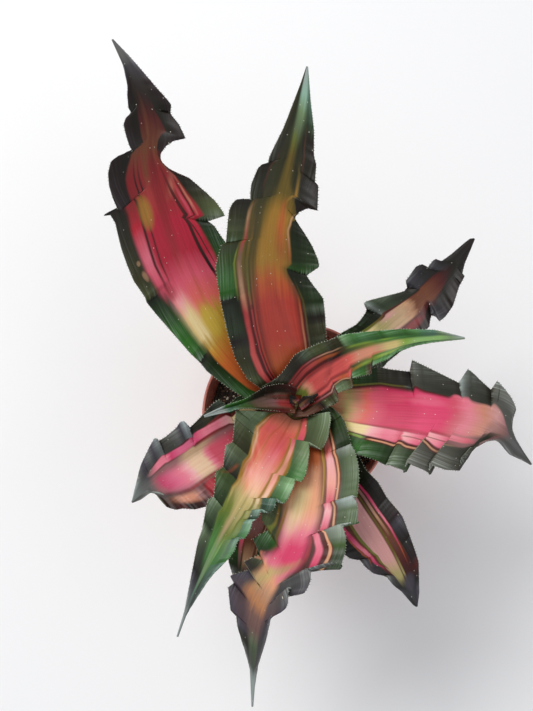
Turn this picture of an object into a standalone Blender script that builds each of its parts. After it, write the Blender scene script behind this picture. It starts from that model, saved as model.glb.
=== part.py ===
"""Potted earth star: a thin nursery pot, its soil and a rosette of waved leaves.

All in metres, with the pot's base at z = 0. Each leaf is a sheet between outlines in plan, in
millimetres, that rises and waves and then takes on a thickness.
"""

import math

import bmesh
import bpy
import numpy as np

MM = 0.001
SEAM_MERGE = 0.00001

# The pot, a 9 cm nursery pot turned from one profile.
POT_HEIGHT = 80.0
POT_RIM_RADIUS = 45.0
POT_BASE_RADIUS = 31.0
POT_WALL = 1.2
POT_BAND_HEIGHT = 11.0
POT_BAND_STEP = 1.4
POT_LIP = 1.4
POT_ROUND = 0.6
POT_FLOOR = 2.0
POT_FOOT_WIDTH = 2.5
POT_FOOT_HEIGHT = 0.8
POT_PAD_RADIUS = 4.0
POT_STEPS = 56
DRAIN_HOLES = 8
DRAIN_HOLE_RADIUS = 3.5
DRAIN_HOLE_STEPS = 20
DRAIN_RING_RADIUS = 21.0
DRAIN_CUTTER_LENGTH = 12.0

# The soil fills the pot, and the stem stands in a hole in it.
SOIL_TOP = 73.0
SOIL_BASE = 3.5
SOIL_GAP = 0.3
SOIL_RINGS = 7
SOIL_SPOKES = 36
SOIL_LUMP = 0.9
SOIL_FALL = 1.2
SOIL_BEVEL = 1.0
SOIL_SEED = 7
STEM_RADIUS = 4.4
STEM_BASE = 58.0
STEM_TOP = 91.0
STEM_HOLE_GAP = 0.4
STEM_STEPS = 28

# The blades.
LEAF_THICKNESS = 0.9
STEEPEST = 0.45
LEAF_GAP = 0.6
TIP_HALF_WIDTH = 0.4
LAYER_STEP = 1.7
FLAT_PART = 0.3
MARGIN_SLANT = 0.045
POINTED = 0.7
ROW_STEP = 7.8
ROW_NEAREST = 0.009
ROW_CROWDING = 0.7
MARGIN_STEPS = 600
COLUMNS = (-1.0, -0.8, -0.56, -0.3, 0.0, 0.3, 0.56, 0.8, 1.0)
FINE_ROWS = 161
FINE_COLUMNS = 33
CELL = 0.5
FIELD_HALF = 190.0
SETTLE_PASSES = 5

# Every blade climbs out of the rosette by this funnel of (radius, height) before its own rise takes over.
FUNNEL = [(4, 77), (12, 81.5), (24, 89)]
CHANNEL = [(0.0, 0.25), (1.0, 0.1)]

# The lower leaves have their bases wrapped round the stem, and the last ones lie over its top.
LAYERS_ROUND_STEM = 9
CLASP_RADIUS = 4.8

# From the lowest leaf to the topmost. "rise" is (radius, height). "mid" is the midline, and "left"
# and "right" are the margins seen on the way out to the tip. A third number is the height of the
# margin over the blade, up where a flap starts and down in the notch at its end.
LEAVES = {
    "leaf_low_front": {
        "rise": [(45, 94), (75, 95), (100, 86)],
        "mid": [(-1, -3), (-2.5, -7.5), (-8, -22.5), (-14.5, -40), (-20, -56.5), (-23.5, -70),
            (-27, -83)],
        "left": [(3.5, -2), (7, -13), (4, -30.5), (-2.5, -46, 1.5), (-5, -50, -1), (-6.5, -56.5, 2),
            (-12, -61, -1), (-12.5, -68, 1.5), (-20, -77)],
        "right": [(-5, -1), (-14.5, -5.5), (-22, -21), (-29, -38), (-31.5, -49.5, 1.5),
            (-29.5, -54, -1), (-32, -61, 2), (-31.5, -70.5), (-29, -78.5)],
    },
    "leaf_right_front": {
        "rise": [(45, 95), (75, 97), (105, 90)],
        "mid": [(2, -2), (7, -7), (12, -18.5), (19.5, -32.5), (26.5, -45), (35, -59), (43, -72),
            (49, -82.5), (54, -90.5)],
        "left": [(5, 1.5), (16.5, -3), (24.5, -14.5), (31, -29), (36.5, -35, 1), (40.5, -42, -0.5),
            (47, -50.5, 1.5), (50.5, -59, 0), (54.5, -71, 1), (55, -84.5, 0.5)],
        "right": [(-2, -4), (-1.5, -15.5), (5, -33), (20.5, -67.5, 1), (23.5, -69.5, 0), (26.5, -70, -0.5),
            (27.5, -69.5, -1.5), (28.5, -71, 1), (30, -73, 1), (34, -76, 0), (39, -77, -1),
            (40, -77.5, 0.5), (43, -81, 0), (47, -84), (52.5, -90)],
    },
    "leaf_right_back": {
        "rise": [(45, 96), (75, 101), (115, 101)],
        "mid": [(1.5, 2.5), (4.5, 9.5), (9, 12.5), (18, 19.5), (29.5, 29.5), (42.5, 40.5), (55, 50.5),
            (65.5, 59.5), (74, 69), (83.5, 79.5)],
        "left": [(-1.5, 4.8), (1.5, 11.5), (4, 21.5), (13, 30), (22, 35.5, 0.5), (27.5, 38.5, 0),
            (29.5, 40.5, 0.5), (32, 44, 0), (32.5, 46, -1.5), (31, 47.5, 2.5), (32, 48.5, 2), (50, 54, -1),
            (51.5, 56, -1.5), (50.5, 58, 1.5), (52, 60, 2), (55.5, 65, 1), (58.5, 66.5, 0), (59, 64, -1.5),
            (61, 64, -1.5), (61.5, 65.5, 1), (63.5, 68, 1.2), (65, 69, 0.5), (65.5, 68, -0.3),
            (67, 68, -0.6), (72, 71.5), (81.5, 79.5)],
        "right": [(5, 0), (15.5, 5.5), (28.5, 10), (40, 18.5, 1), (42, 21, -1), (47.5, 25, 1), (54.5, 31),
            (61, 36.5, 1), (61.5, 40, 0), (62.5, 42.5, -2), (64.5, 41, 0), (65.5, 38.5, 2.5),
            (68, 40.5, 1.5), (72, 46, 0.5), (75.5, 56, 0.5), (78, 60.5, 0.8), (77, 61, -0.5), (78.5, 67),
            (82, 75)],
    },
    "leaf_left": {
        "rise": [(45, 96), (75, 98), (95, 92)],
        "mid": [(-2.8, 0.8), (-10.5, -1), (-19, -6.5), (-30, -14), (-42.5, -21), (-52.5, -28),
            (-62.5, -35), (-69.5, -39.5), (-75.5, -44)],
        "left": [(-1.5, -4.5), (-6.5, -16.5), (-16.5, -26.5), (-26.5, -34), (-34.5, -40.5),
            (-41, -46.5, 0.5), (-46.5, -48, 2), (-52.5, -47.5, 0.5), (-55, -48, 1), (-57, -47.5, 1),
            (-59.5, -46.5, 2), (-59, -45, -0.5), (-59, -43, -1), (-60, -41.5, -0.5), (-63, -40, 0.5),
            (-66, -39.5, 0), (-71.5, -43)],
        "right": [(-4.6, 3.2), (-12.5, 8.5), (-20.5, 6.5), (-28, 4.5, 1), (-32.5, 0.5, -1), (-36, 2.5, 2),
            (-39, 0.5), (-45, -6, 0), (-49.5, -10, -2), (-52, -8, 3), (-53.5, -8.5, 2.5), (-55.5, -11, 1),
            (-60.5, -15, -0.5), (-63.5, -16.5, -1.8), (-64, -16, 1), (-65, -16, 2.5), (-70.5, -25.5, -0.5),
            (-71.5, -28, 0.5), (-75.5, -43)],
    },
    "leaf_right": {
        "rise": [(45, 97), (75, 102), (105, 97), (125, 88)],
        "mid": [(2.7, 1), (11, 2), (20, 0), (31, -2), (47, -3.5), (62.5, -5), (76, -6.5),
            (87.5, -9.5), (96.5, -15.5), (106.5, -27)],
        "left": [(2, 5), (9, 13.5), (17, 15), (25.5, 15.5, 1), (37.5, 17, 1.5), (42, 16, 0.5),
            (51.5, 15, -2), (52, 19, 3.5), (56, 17.5, 1.5), (71, 10.5, -1), (73.5, 9.5, -2),
            (77, 14.5, 3.5), (88.5, 6.5, -2), (90.5, 9.5, 3), (92, 8.5, 2), (95, 5.5, 1), (97.5, 2.5, 0.5),
            (99, -0.5, 0.5), (99.5, -2.5, 0.5), (98, -3.5, -0.5), (98, -6, 0.5), (97.5, -8.5, -0.3),
            (97.5, -11, 0), (99.5, -16), (103, -21.5)],
        "right": [(3, -4), (8.5, -8), (15, -16), (26.5, -22.5, -1), (29.5, -24, 2), (34, -25.5, 1.5),
            (39.5, -28, -1.5), (41, -28.5, 1.5), (44.5, -30, 1.5), (50.5, -32, -1.5), (51.5, -30.5, 2),
            (56, -31, 1.5), (60, -33, -1.5), (61, -30.5, 2), (66, -31, 1.5), (72.5, -31, -1.2),
            (73, -25.5, 0.5), (76.5, -24.5, 0.3), (78, -20.5, 0), (81, -20, 0), (82, -18.5, 0),
            (88.5, -16.5), (91, -17.5), (96, -23), (102.5, -25.5)],
    },
    "leaf_back_left": {
        "rise": [(45, 99), (75, 112), (110, 126), (150, 138), (175, 142)],
        "mid": [(-1.7, 2.4), (-9.5, 8.5), (-16.5, 13), (-25, 21), (-35, 32), (-44, 46), (-52.5, 62.5),
            (-59.5, 81), (-64.5, 97), (-66.5, 109), (-67, 122), (-73, 137), (-83.5, 158.5)],
        "left": [(-5, -0.5), (-16.5, 3.5), (-24.5, 4), (-33.5, 9, 1), (-41.5, 14.5, 2), (-44.5, 18.5, -1),
            (-48, 21, 2), (-52.5, 26, 0), (-68, 43, -1), (-68.5, 44.5, 2), (-73.5, 51.5, 1),
            (-76.5, 58.5, 0), (-79, 65.5, 0), (-80.5, 71.5, 0), (-81.5, 76, 1), (-83.5, 79, 2),
            (-87, 81, 3), (-79, 79.5, -1.5), (-80, 81, 1), (-82.5, 86.5, 2.5), (-84, 91.5, 3),
            (-84.5, 97, 2.5), (-83.5, 102.5, 1.5), (-80.5, 105.5, 0.5), (-77, 107, 0),
            (-73.5, 107.5, -1.5), (-75.5, 110.5, 1), (-77, 115, 2.5), (-78, 119.5, 1.5), (-77, 123, 0),
            (-74.5, 125, -1), (-76, 127.5, 0.5), (-76.5, 133.5, 1), (-76.5, 137, 0.5), (-78.5, 146.5)],
        "right": [(2, 4.8), (-3.5, 18.5), (-9, 29), (-16.5, 44, 1), (-25, 61, 2), (-35, 73.5, 1.5),
            (-38, 78, 0.5), (-41, 80.5, -1.5), (-33, 81.5, 3.5), (-37.5, 88, 2), (-49, 98, 0),
            (-55.5, 100.5, 0), (-59, 102.5, -0.5), (-61, 104.5, -1), (-62, 106.5, -1), (-62, 108.5, -1),
            (-59.5, 111.5, 0), (-56, 113.5, 1), (-50.5, 114, 3), (-53.5, 120.5, 1), (-57.5, 126, -0.5),
            (-57, 129, 1), (-63.5, 136.5), (-75, 150)],
    },
    "leaf_front": {
        "rise": [(45, 98), (75, 103), (110, 101), (145, 90)],
        "mid": [(1.5, -2.4), (4.5, -7), (7.5, -15), (8.5, -27), (6.5, -41.5), (3, -55.5), (-2.5, -68),
            (-9, -79.5), (-14.5, -91), (-18, -103.5), (-20, -117.5), (-20.5, -134)],
        "left": [(5, -0.5), (15.5, 0.5), (20, -4.5, 0), (21.5, -8, 1.5), (23.5, -15.5, 0), (24, -18, -1.5),
            (24, -19, 1), (25.5, -22, 2.5), (27, -30, 1.5), (27, -35, 0.5), (26, -43, -1.5),
            (25, -43.5, 1), (25.5, -45.5, 2.5), (26, -49.5, 1.5), (25.5, -57, -1), (25, -58.5, -1.5),
            (20, -58, 1), (20.5, -61, 2.5), (20.5, -65.5, 1), (20, -68.5, 0.5), (17, -77, -1),
            (15.5, -80, -1.2), (13, -82, -1.5), (9.5, -78.5, -0.5), (6.5, -78, 1.5), (5, -79.5, 2),
            (4, -82.5, 1), (2.5, -85, 0), (0.5, -86, -1), (-2.5, -85, -1), (-3.5, -85.5, -1.5),
            (-4, -87, 1.5), (-5, -90, 2), (-6, -92, 1), (-8, -93.5, 0), (-10.5, -93.5, -0.5),
            (-12, -94.5, -1), (-12.5, -96.5, 0.5), (-14.5, -105.5), (-18, -116.5), (-19.5, -126)],
        "left_slant": 0.07,
        "right_slant": 0.07,
        "right": [(-3, -4), (-11, -4), (-13.5, -15), (-14.5, -30), (-15.5, -44), (-16.5, -53, 2),
            (-13.5, -57.5, -1.5), (-20, -62, 2), (-17, -68.5, -1.5), (-24, -72, 2), (-21, -75, -1.5),
            (-30, -78, 2.5), (-28.5, -81, -1), (-31, -83, 1.5), (-30, -92.5, 0), (-27.5, -95, 0),
            (-27, -99.5, 0), (-21.5, -117.5)],
    },
    "leaf_back": {
        "rise": [(45, 100), (75, 114), (110, 127), (150, 138)],
        "mid": [(-0.5, 2.9), (-3, 13), (-6, 20), (-9, 32.5), (-11.5, 47.5), (-12.5, 66), (-10, 85),
            (-5, 104), (-0.5, 123.5), (4, 146.5)],
        "left": [(-5, 1.5), (-16, 8), (-23, 12), (-28.5, 20.5), (-32, 31.5, 0), (-35, 45, -1),
            (-35.5, 48, 1.5), (-36.5, 54, 2.5), (-37, 58.5, 2), (-36, 63.5, 0.5), (-34.5, 68.5, 0),
            (-32.5, 70, -1.5), (-32, 74, 1.5), (-31.5, 78.5, 2.5), (-31, 83, 1.5), (-29.5, 86.5, 0.5),
            (-27.5, 88.5, 0), (-21.5, 87.5, -1.5), (-21.5, 91, 1), (-21, 94.5, 2.5), (-18, 102, 1),
            (-16.5, 103.5, 0), (-13.5, 105, -1.2), (-13, 107, 0), (-10, 113, 0.5), (-6.5, 120, 0),
            (1, 139)],
        "right": [(4.5, 2.5), (9.5, 13.5), (12.5, 22), (13, 30.5), (12.5, 39, 0), (11.5, 46.5, 1),
            (4, 57.5, -2), (9.5, 59.5, 3.5), (9, 62.5, 2.5), (6.5, 68.5, 1.5), (3, 74.5, 0.5),
            (-1.5, 82, -2), (0.5, 84, -0.5), (4.5, 85, 1), (8.5, 83, 4), (9, 94.5, 0.5), (7.5, 96.5, -0.5),
            (8, 103.5, 1), (7, 108, 0), (7, 118.5, 0), (5.5, 131.5, 0)],
    },
    "leaf_front_left": {
        "rise": [(45, 100), (75, 107), (110, 104), (128, 99)],
        "mid": [(-1, -2.6), (-2.2, -5.5), (-5.5, -11.5), (-13.5, -25), (-21.5, -40), (-29.5, -55),
            (-37, -69), (-43, -81.5), (-49, -93.5), (-53, -104)],
        "left": [(8, -3), (14.5, -2.5), (15, -6, 1), (13.5, -15.5, 0), (10.5, -20.5, -1.5),
            (5, -16.5, 0.5), (5, -22.5, 2.5), (3.5, -32, 0), (2, -35, -1), (1, -36, -1.5),
            (-1.5, -35, 0.5), (-2, -38, 2.2), (-5, -44.5, -0.5), (-7, -46.5, -1.5), (-10, -44, 0.5),
            (-10.5, -47.5, 2), (-11.5, -49.5, 0), (-13.5, -50.5, -1.2), (-16.5, -49, 0.5),
            (-17.5, -52, 1.5), (-19, -53.5, -0.5), (-20.5, -54.5, 0.5), (-21.5, -58.5, 1.5),
            (-24, -62, -1), (-25.5, -61.5, 0), (-27.5, -64.5, 0.5), (-28, -67, 0.5), (-30.5, -70.5, 0.5),
            (-32, -72, -0.5), (-36.5, -76.5, 0.5), (-39.5, -80, 0), (-49, -94.5)],
        "right": [(-5.5, -1.5), (-28, -3.5), (-28.5, -7, 0), (-29.5, -18, -1), (-32.5, -20.5, 2),
            (-33.5, -30, -1), (-36.5, -32.5, 2), (-37.5, -43.5, -1), (-40, -45.5, 1.5),
            (-42.5, -58.5, 0), (-44, -63, 0.5), (-48, -83.5), (-50, -93.5)],
    },
    "leaf_young_right": {
        "rise": [(45, 103), (60, 107), (80, 107)],
        "mid": [(2.5, 6.5), (4, 9), (8.5, 12.5), (17.5, 18), (30.5, 23), (43.5, 25), (55, 26.5),
            (75, 27.5)],
        "left": [(-16.5, 8.5), (-10, 12.5, 0.5), (-7, 15.5, 0), (-1, 23, 1), (4, 25.5, 0),
            (21.5, 30.5, 0.7), (46, 31.5, 0.3), (61.5, 31), (70.5, 29)],
        "right": [(-2, -4), (4, -3.8), (11, -1.5, 0.5), (18.5, 1.5, 1.5), (18.5, 6, -1), (25, 7.5, 1.5),
            (25, 12, -1), (33, 12.5, 1.5), (33, 16, -1), (40.5, 18.5, 1), (45, 21.5, 0), (52.5, 24),
            (61.5, 25.5)],
    },
    "leaf_young_left": {
        "rise": [(35, 94), (45, 95)],
        "mid": [(-1.5, 5), (-5.5, 5), (-12.5, 4), (-19.5, 1.5), (-26.5, -0.5), (-33, -3),
            (-42.5, -6.5)],
        "left": [(-1, -3), (-21.5, -2), (-37, -5.5)],
        "right": [(0, 8.5), (-3.5, 10), (-8, 10), (-15, 8), (-20.5, 4.5), (-24.5, 2), (-33, -1.5)],
        "channel": [(0, 0.8), (0.5, 0.9), (1, 0.5)],
    },
    "heart_leaf_1": {
        "rise": [(45, 101)],
        "mid": [(1, 1), (4, 3.5), (9.5, 6)],
        "left": [(0, 3), (3, 5.5), (6, 5.5)],
        "right": [(2, -1), (5, 1), (7.5, 3.5)],
    },
    "heart_leaf_2": {
        "rise": [(45, 101)],
        "mid": [(-0.5, 2), (-2, 3.5), (-3.5, 5.5)],
        "left": [(-2, 0.5), (-3.5, 2.5)],
        "right": [(1, 3.5), (-0.5, 5)],
    },
}

# Base colour, roughness and metallic of each node.
COLOURS = {
    "pot": ((0.56, 0.23, 0.19), 0.55, 0.0),
    "soil": ((0.018, 0.012, 0.009), 0.95, 0.0),
    "stem": ((0.16, 0.20, 0.07), 0.6, 0.0),
    "leaf_low_front": ((0.24, 0.09, 0.06), 0.42, 0.0),
    "leaf_right_front": ((0.36, 0.17, 0.15), 0.42, 0.0),
    "leaf_right_back": ((0.12, 0.05, 0.04), 0.42, 0.0),
    "leaf_left": ((0.44, 0.13, 0.18), 0.42, 0.0),
    "leaf_right": ((0.52, 0.10, 0.16), 0.42, 0.0),
    "leaf_back_left": ((0.36, 0.06, 0.09), 0.42, 0.0),
    "leaf_front": ((0.52, 0.22, 0.17), 0.42, 0.0),
    "leaf_back": ((0.37, 0.12, 0.05), 0.42, 0.0),
    "leaf_front_left": ((0.44, 0.22, 0.13), 0.42, 0.0),
    "leaf_young_right": ((0.30, 0.14, 0.08), 0.42, 0.0),
    "leaf_young_left": ((0.16, 0.03, 0.04), 0.42, 0.0),
    "heart_leaf_1": ((0.08, 0.03, 0.025), 0.42, 0.0),
    "heart_leaf_2": ((0.08, 0.03, 0.025), 0.42, 0.0),
}


def smooth_step(value, low, high):
    part = np.clip((value - low) / (high - low), 0.0, 1.0)
    return part * part * (3.0 - 2.0 * part)


def curve(knots, values, at, level=False):
    """A smooth curve through the values. With level it turns flat at each high and low."""
    knots = np.asarray(knots, float)
    values = np.asarray(values, float)
    step = np.diff(values, axis=0) / np.diff(knots).reshape([-1] + [1] * (values.ndim - 1))
    slope = np.gradient(values, knots, axis=0)
    if level:
        before = step[:-1]
        after = step[1:]
        same_way = before * after > 0
        total = np.where(same_way, before + after, 1.0)
        slope[1:-1] = np.where(same_way, 2.0 * before * after / total, 0.0)
    at = np.clip(at, knots[0], knots[-1])
    index = np.clip(np.searchsorted(knots, at, side="right") - 1, 0, len(knots) - 2)
    width = knots[index + 1] - knots[index]
    part = (at - knots[index]) / width
    if values.ndim == 2:
        width = width[..., None]
        part = part[..., None]
    near = (1 + 2 * part) * (1 - part) ** 2 * values[index] + part * (1 - part) ** 2 * width * slope[index]
    far = part**2 * (3 - 2 * part) * values[index + 1] + part**2 * (part - 1) * width * slope[index + 1]
    return near + far


def pointed(knots, values, at):
    """A curve part of the way to straight lines between the values, so its corners stay sharp."""
    rounded = curve(knots, values, at, level=True)
    straight = np.stack([np.interp(at, knots, column) for column in values.T], axis=1)
    return rounded + (straight - rounded) * POINTED


def midline(leaf):
    """The midline's points and where along the leaf, 0 to 1, each one lies."""
    points = np.array(leaf["mid"], float)
    lengths = np.hypot(*np.diff(points, axis=0).T)
    along = np.concatenate([[0.0], np.cumsum(lengths)])
    return along / along[-1], points


def rows_of_margin(leaf, side):
    """Where along the leaf each point of a margin lies. A row slants back to the base on its way out."""
    knots, points = midline(leaf)
    steps = np.linspace(0.0, 1.0, MARGIN_STEPS)
    line = curve(knots, points, steps)
    rows = []
    for point in leaf[side]:
        offset = line - np.array(point[:2])
        near = steps[np.argmin(np.hypot(*offset.T))]
        rows.append(near + leaf.get(side + "_slant", MARGIN_SLANT) * math.sin(math.pi * near))
    rows[0] = 0.0
    rows.append(1.0)
    for index in range(1, len(rows)):
        rows[index] = max(rows[index], rows[index - 1] + ROW_NEAREST)
    rows[-1] = 1.0
    for index in range(len(rows) - 2, 0, -1):
        rows[index] = min(rows[index], rows[index + 1] - ROW_NEAREST)
    return rows


def margin(leaf, side):
    """Plan position and height of one margin at even steps, with no row crossing the next."""
    knots, points = midline(leaf)
    rows = rows_of_margin(leaf, side)
    sign = 1.0 if side == "left" else -1.0
    last = points[-1] - points[-2]
    tip = points[-1] + sign * np.array([-last[1], last[0]]) / np.hypot(*last) * TIP_HALF_WIDTH
    plan = np.array([point[:2] for point in leaf[side]] + [tip], float)
    steps = np.linspace(0.0, 1.0, MARGIN_STEPS)
    centre = curve(knots, points, steps)
    ahead = np.gradient(centre, axis=0)
    advance = np.hypot(ahead[:, 0], ahead[:, 1])
    ahead /= advance[:, None]
    aside = sign * np.stack([-ahead[:, 1], ahead[:, 0]], axis=1)
    reach = pointed(rows, plan, steps) - centre
    width = np.maximum((reach * aside).sum(axis=1), TIP_HALF_WIDTH)
    slant = (reach * ahead).sum(axis=1) / width
    most_drop = ROW_CROWDING * advance / width
    onward = slant.copy()
    for index in range(1, MARGIN_STEPS):
        onward[index] = max(slant[index], onward[index - 1] - most_drop[index])
    backward = slant.copy()
    for index in range(MARGIN_STEPS - 2, -1, -1):
        backward[index] = min(slant[index], backward[index + 1] + most_drop[index])
    slant = (onward + backward) / 2
    outline = centre + (aside + ahead * slant[:, None]) * width[:, None]
    heights = [(0.0, 0.0)]
    for row, point in zip(rows, leaf[side]):
        if len(point) > 2:
            heights.append((row, point[2]))
    heights = np.array(heights + [(1.0, 0.0)])
    return steps, outline, pointed(heights[:, 0], heights[:, 1:], steps)[:, 0]


def blade(leaf, layer, s, t):
    """Points of the blade's middle surface: s from base to tip, t from left margin -1 to right 1."""
    knots, points = midline(leaf)
    centre = curve(knots, points, s)
    plan = centre.copy()
    height = np.zeros_like(s)
    half = np.zeros_like(s)
    for sign, side in ((-1, "left"), (1, "right")):
        steps, outline, crests = margin(leaf, side)
        edge = np.stack([np.interp(s, steps, outline[:, axis]) for axis in (0, 1)], axis=-1)
        reach = edge - centre
        here = t * sign > 0
        plan = np.where(here[..., None], centre + reach * np.abs(t)[..., None], plan)
        wave = np.interp(s, steps, crests) * smooth_step(np.abs(t), FLAT_PART, 1.0)
        height = np.where(here, wave, height)
        half = np.where(here, np.hypot(reach[..., 0], reach[..., 1]), half)
    rise = np.array(FUNNEL + leaf["rise"], float)
    radius = np.hypot(plan[..., 0], plan[..., 1])
    if layer < LAYERS_ROUND_STEM:
        wrapped = (radius**3 + CLASP_RADIUS**3) ** (1 / 3)
        plan = plan * (wrapped / np.maximum(radius, 0.1))[..., None]
        radius = wrapped
    last_slope = (rise[-1, 1] - rise[-2, 1]) / (rise[-1, 0] - rise[-2, 0])
    beyond = np.maximum(radius - rise[-1, 0], 0.0) * last_slope
    height = height + curve(rise[:, 0], rise[:, 1], radius) + beyond + layer * LAYER_STEP
    channel = np.array(leaf.get("channel", CHANNEL), float)
    height = height + curve(channel[:, 0], channel[:, 1], s) * t * t * half
    return np.concatenate([plan, height[..., None]], axis=-1)


def normals_of(points):
    ahead = np.gradient(points, axis=0)
    across = np.gradient(points, axis=1)
    normal = np.cross(across, ahead)
    normal /= np.linalg.norm(normal, axis=-1, keepdims=True) + 1e-9
    return normal * np.where(normal[..., 2:] < 0, -1.0, 1.0)


def widened(values, mix):
    """One pass over the grid, taking the largest of the neighbours or their mean."""
    wide = np.pad(values, 1, mode="edge")
    near = [wide[1:-1, 1:-1], wide[:-2, 1:-1], wide[2:, 1:-1], wide[1:-1, :-2], wide[1:-1, 2:]]
    return mix(near, axis=0)


class Below:
    """The height of everything laid down so far, over a plan grid."""

    def __init__(self):
        self.count = int(2 * FIELD_HALF / CELL)
        self.height = np.full((self.count, self.count), -1e3)

    def cells(self, points):
        index = ((points[..., :2] + FIELD_HALF) / CELL).astype(int)
        return np.clip(index, 0, self.count - 1)

    def add(self, points):
        tops = points + normals_of(points) * (LEAF_THICKNESS + LEAF_GAP) / 2
        cells = self.cells(tops)
        np.maximum.at(self.height, (cells[..., 0], cells[..., 1]), tops[..., 2])

    def lifted(self, points):
        """The points raised, smoothly, to where nothing laid down before is crossed."""
        under = points - normals_of(points) * (LEAF_THICKNESS + LEAF_GAP) / 2
        wide = widened(self.height, np.max)
        cells = self.cells(under)
        lift = np.maximum(wide[cells[..., 0], cells[..., 1]] - under[..., 2], 0.0)
        for _ in range(SETTLE_PASSES):
            lift = widened(lift, np.max)
        for _ in range(SETTLE_PASSES):
            lift = widened(lift, np.mean)
        return points + lift[..., None] * np.array([0.0, 0.0, 1.0])


def settled_leaves():
    """Each leaf's fine grid of points, laid down from the lowest up."""
    s = np.repeat(np.linspace(0.0, 1.0, FINE_ROWS)[:, None], FINE_COLUMNS, axis=1)
    t = np.repeat(np.linspace(-1.0, 1.0, FINE_COLUMNS)[None, :], FINE_ROWS, axis=0)
    below = Below()
    grids = {}
    for layer, (name, leaf) in enumerate(LEAVES.items()):
        points = below.lifted(blade(leaf, layer, s, t))
        grids[name] = points
        for part in (0.0, 0.25, 0.5, 0.75):
            below.add(points[:-1] * (1 - part) + points[1:] * part)
    return grids


def sampled(grid, s, t):
    """Points of a fine grid at rows s and columns t."""
    row = np.asarray(s) * (FINE_ROWS - 1)
    column = (np.asarray(t) + 1) / 2 * (FINE_COLUMNS - 1)
    i = np.clip(row.astype(int), 0, FINE_ROWS - 2)
    j = np.clip(column.astype(int), 0, FINE_COLUMNS - 2)
    u = (row - i)[:, None, None]
    v = (column - j)[None, :, None]
    first = grid[i][:, j] * (1 - v) + grid[i][:, j + 1] * v
    second = grid[i + 1][:, j] * (1 - v) + grid[i + 1][:, j + 1] * v
    return first * (1 - u) + second * u


def rows_of(leaf):
    """Rows at every turn of either margin, with more between where they stand far apart."""
    turns = {0.0, 1.0}
    for side in ("left", "right"):
        turns.update(rows_of_margin(leaf, side))
    kept = [0.0]
    for turn in sorted(turns):
        if turn - kept[-1] >= ROW_NEAREST:
            kept.append(turn)
    kept[-1] = 1.0
    length = np.hypot(*np.diff(midline(leaf)[1], axis=0).T).sum()
    rows = [0.0]
    for before, after in zip(kept[:-1], kept[1:]):
        parts = max(1, math.ceil((after - before) * length / ROW_STEP))
        rows += [before + (after - before) * part / parts for part in range(1, parts + 1)]
    return rows


def material_for(name):
    colour, roughness, metallic = COLOURS[name]
    material = bpy.data.materials.new(name + "_material")
    material.use_nodes = True
    shader = material.node_tree.nodes["Principled BSDF"]
    shader.inputs["Base Color"].default_value = (*colour, 1.0)
    shader.inputs["Roughness"].default_value = roughness
    shader.inputs["Metallic"].default_value = metallic
    return material


def new_object(name, points, faces, collection):
    """A mesh object from points in millimetres."""
    mesh = bpy.data.meshes.new(name)
    mesh.from_pydata([[value * MM for value in point] for point in points], [], faces)
    mesh.update()
    made = bpy.data.objects.new(name, mesh)
    collection.objects.link(made)
    return made


def finish(made, name):
    made.data.materials.append(material_for(name))
    made.data.shade_smooth()


def plan_area(a, b, c):
    return (b[0] - a[0]) * (c[1] - a[1]) - (b[1] - a[1]) * (c[0] - a[0])


def split(points, a, b, c, d):
    """Two triangles of a quad, over the shorter diagonal unless that one folds the sheet over in plan."""
    over_ac = [(a, b, c), (a, c, d)]
    over_bd = [(a, b, d), (b, c, d)]
    if np.linalg.norm(points[a] - points[c]) > np.linalg.norm(points[b] - points[d]):
        over_ac, over_bd = over_bd, over_ac
    least = [min(plan_area(*points[list(face)]) for face in pair) for pair in (over_ac, over_bd)]
    return over_ac if least[0] > 0 or least[0] >= least[1] else over_bd


def add_leaf(name, leaf, grid, collection):
    """One blade: the same triangles on its upper and lower face, joined round the edge."""
    points = sampled(grid, rows_of(leaf), COLUMNS)
    rows, columns = points.shape[:2]
    level = np.maximum(normals_of(points)[..., 2], STEEPEST)
    half = np.zeros_like(points)
    half[..., 2] = LEAF_THICKNESS / 2 / level
    upper = (points + half).reshape(-1, 3)
    lower = (points - half).reshape(-1, 3)
    count = rows * columns
    faces = []
    for i in range(rows - 1):
        for j in range(columns - 1):
            a = i * columns + j
            faces += split(upper, a, a + 1, a + columns + 1, a + columns)
    under = [(c + count, b + count, a + count) for a, b, c in faces]
    index = np.arange(count).reshape(rows, columns)
    edge = np.concatenate([index[0, :], index[1:, -1], index[-1, -2::-1], index[-2:0:-1, 0]])
    rim = []
    for near, after in zip(edge, np.roll(edge, -1)):
        rim += [(after, near, near + count), (after, near + count, after + count)]
    rim = [tuple(int(value) for value in face) for face in rim]
    made = new_object(name, np.concatenate([upper, lower]), faces + under + rim, collection)
    finish(made, name)


def turned(name, profile, steps, collection):
    """A solid of revolution from (radius, height) points, down the outer side and up the inner."""
    points = [(radius, 0.0, height) for radius, height in profile]
    mesh = bpy.data.meshes.new(name)
    edges = [(i, i + 1) for i in range(len(points) - 1)]
    mesh.from_pydata([[value * MM for value in point] for point in points], edges, [])
    made = bpy.data.objects.new(name, mesh)
    collection.objects.link(made)
    screw = made.modifiers.new("turn", "SCREW")
    screw.steps = steps
    screw.render_steps = steps
    screw.use_merge_vertices = True
    screw.merge_threshold = SEAM_MERGE
    return made


def pot_inside(height):
    """The radius of the pot's inner face at a height."""
    part = height / POT_HEIGHT
    return POT_BASE_RADIUS + (POT_RIM_RADIUS - POT_BAND_STEP - POT_BASE_RADIUS) * part - POT_WALL


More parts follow.
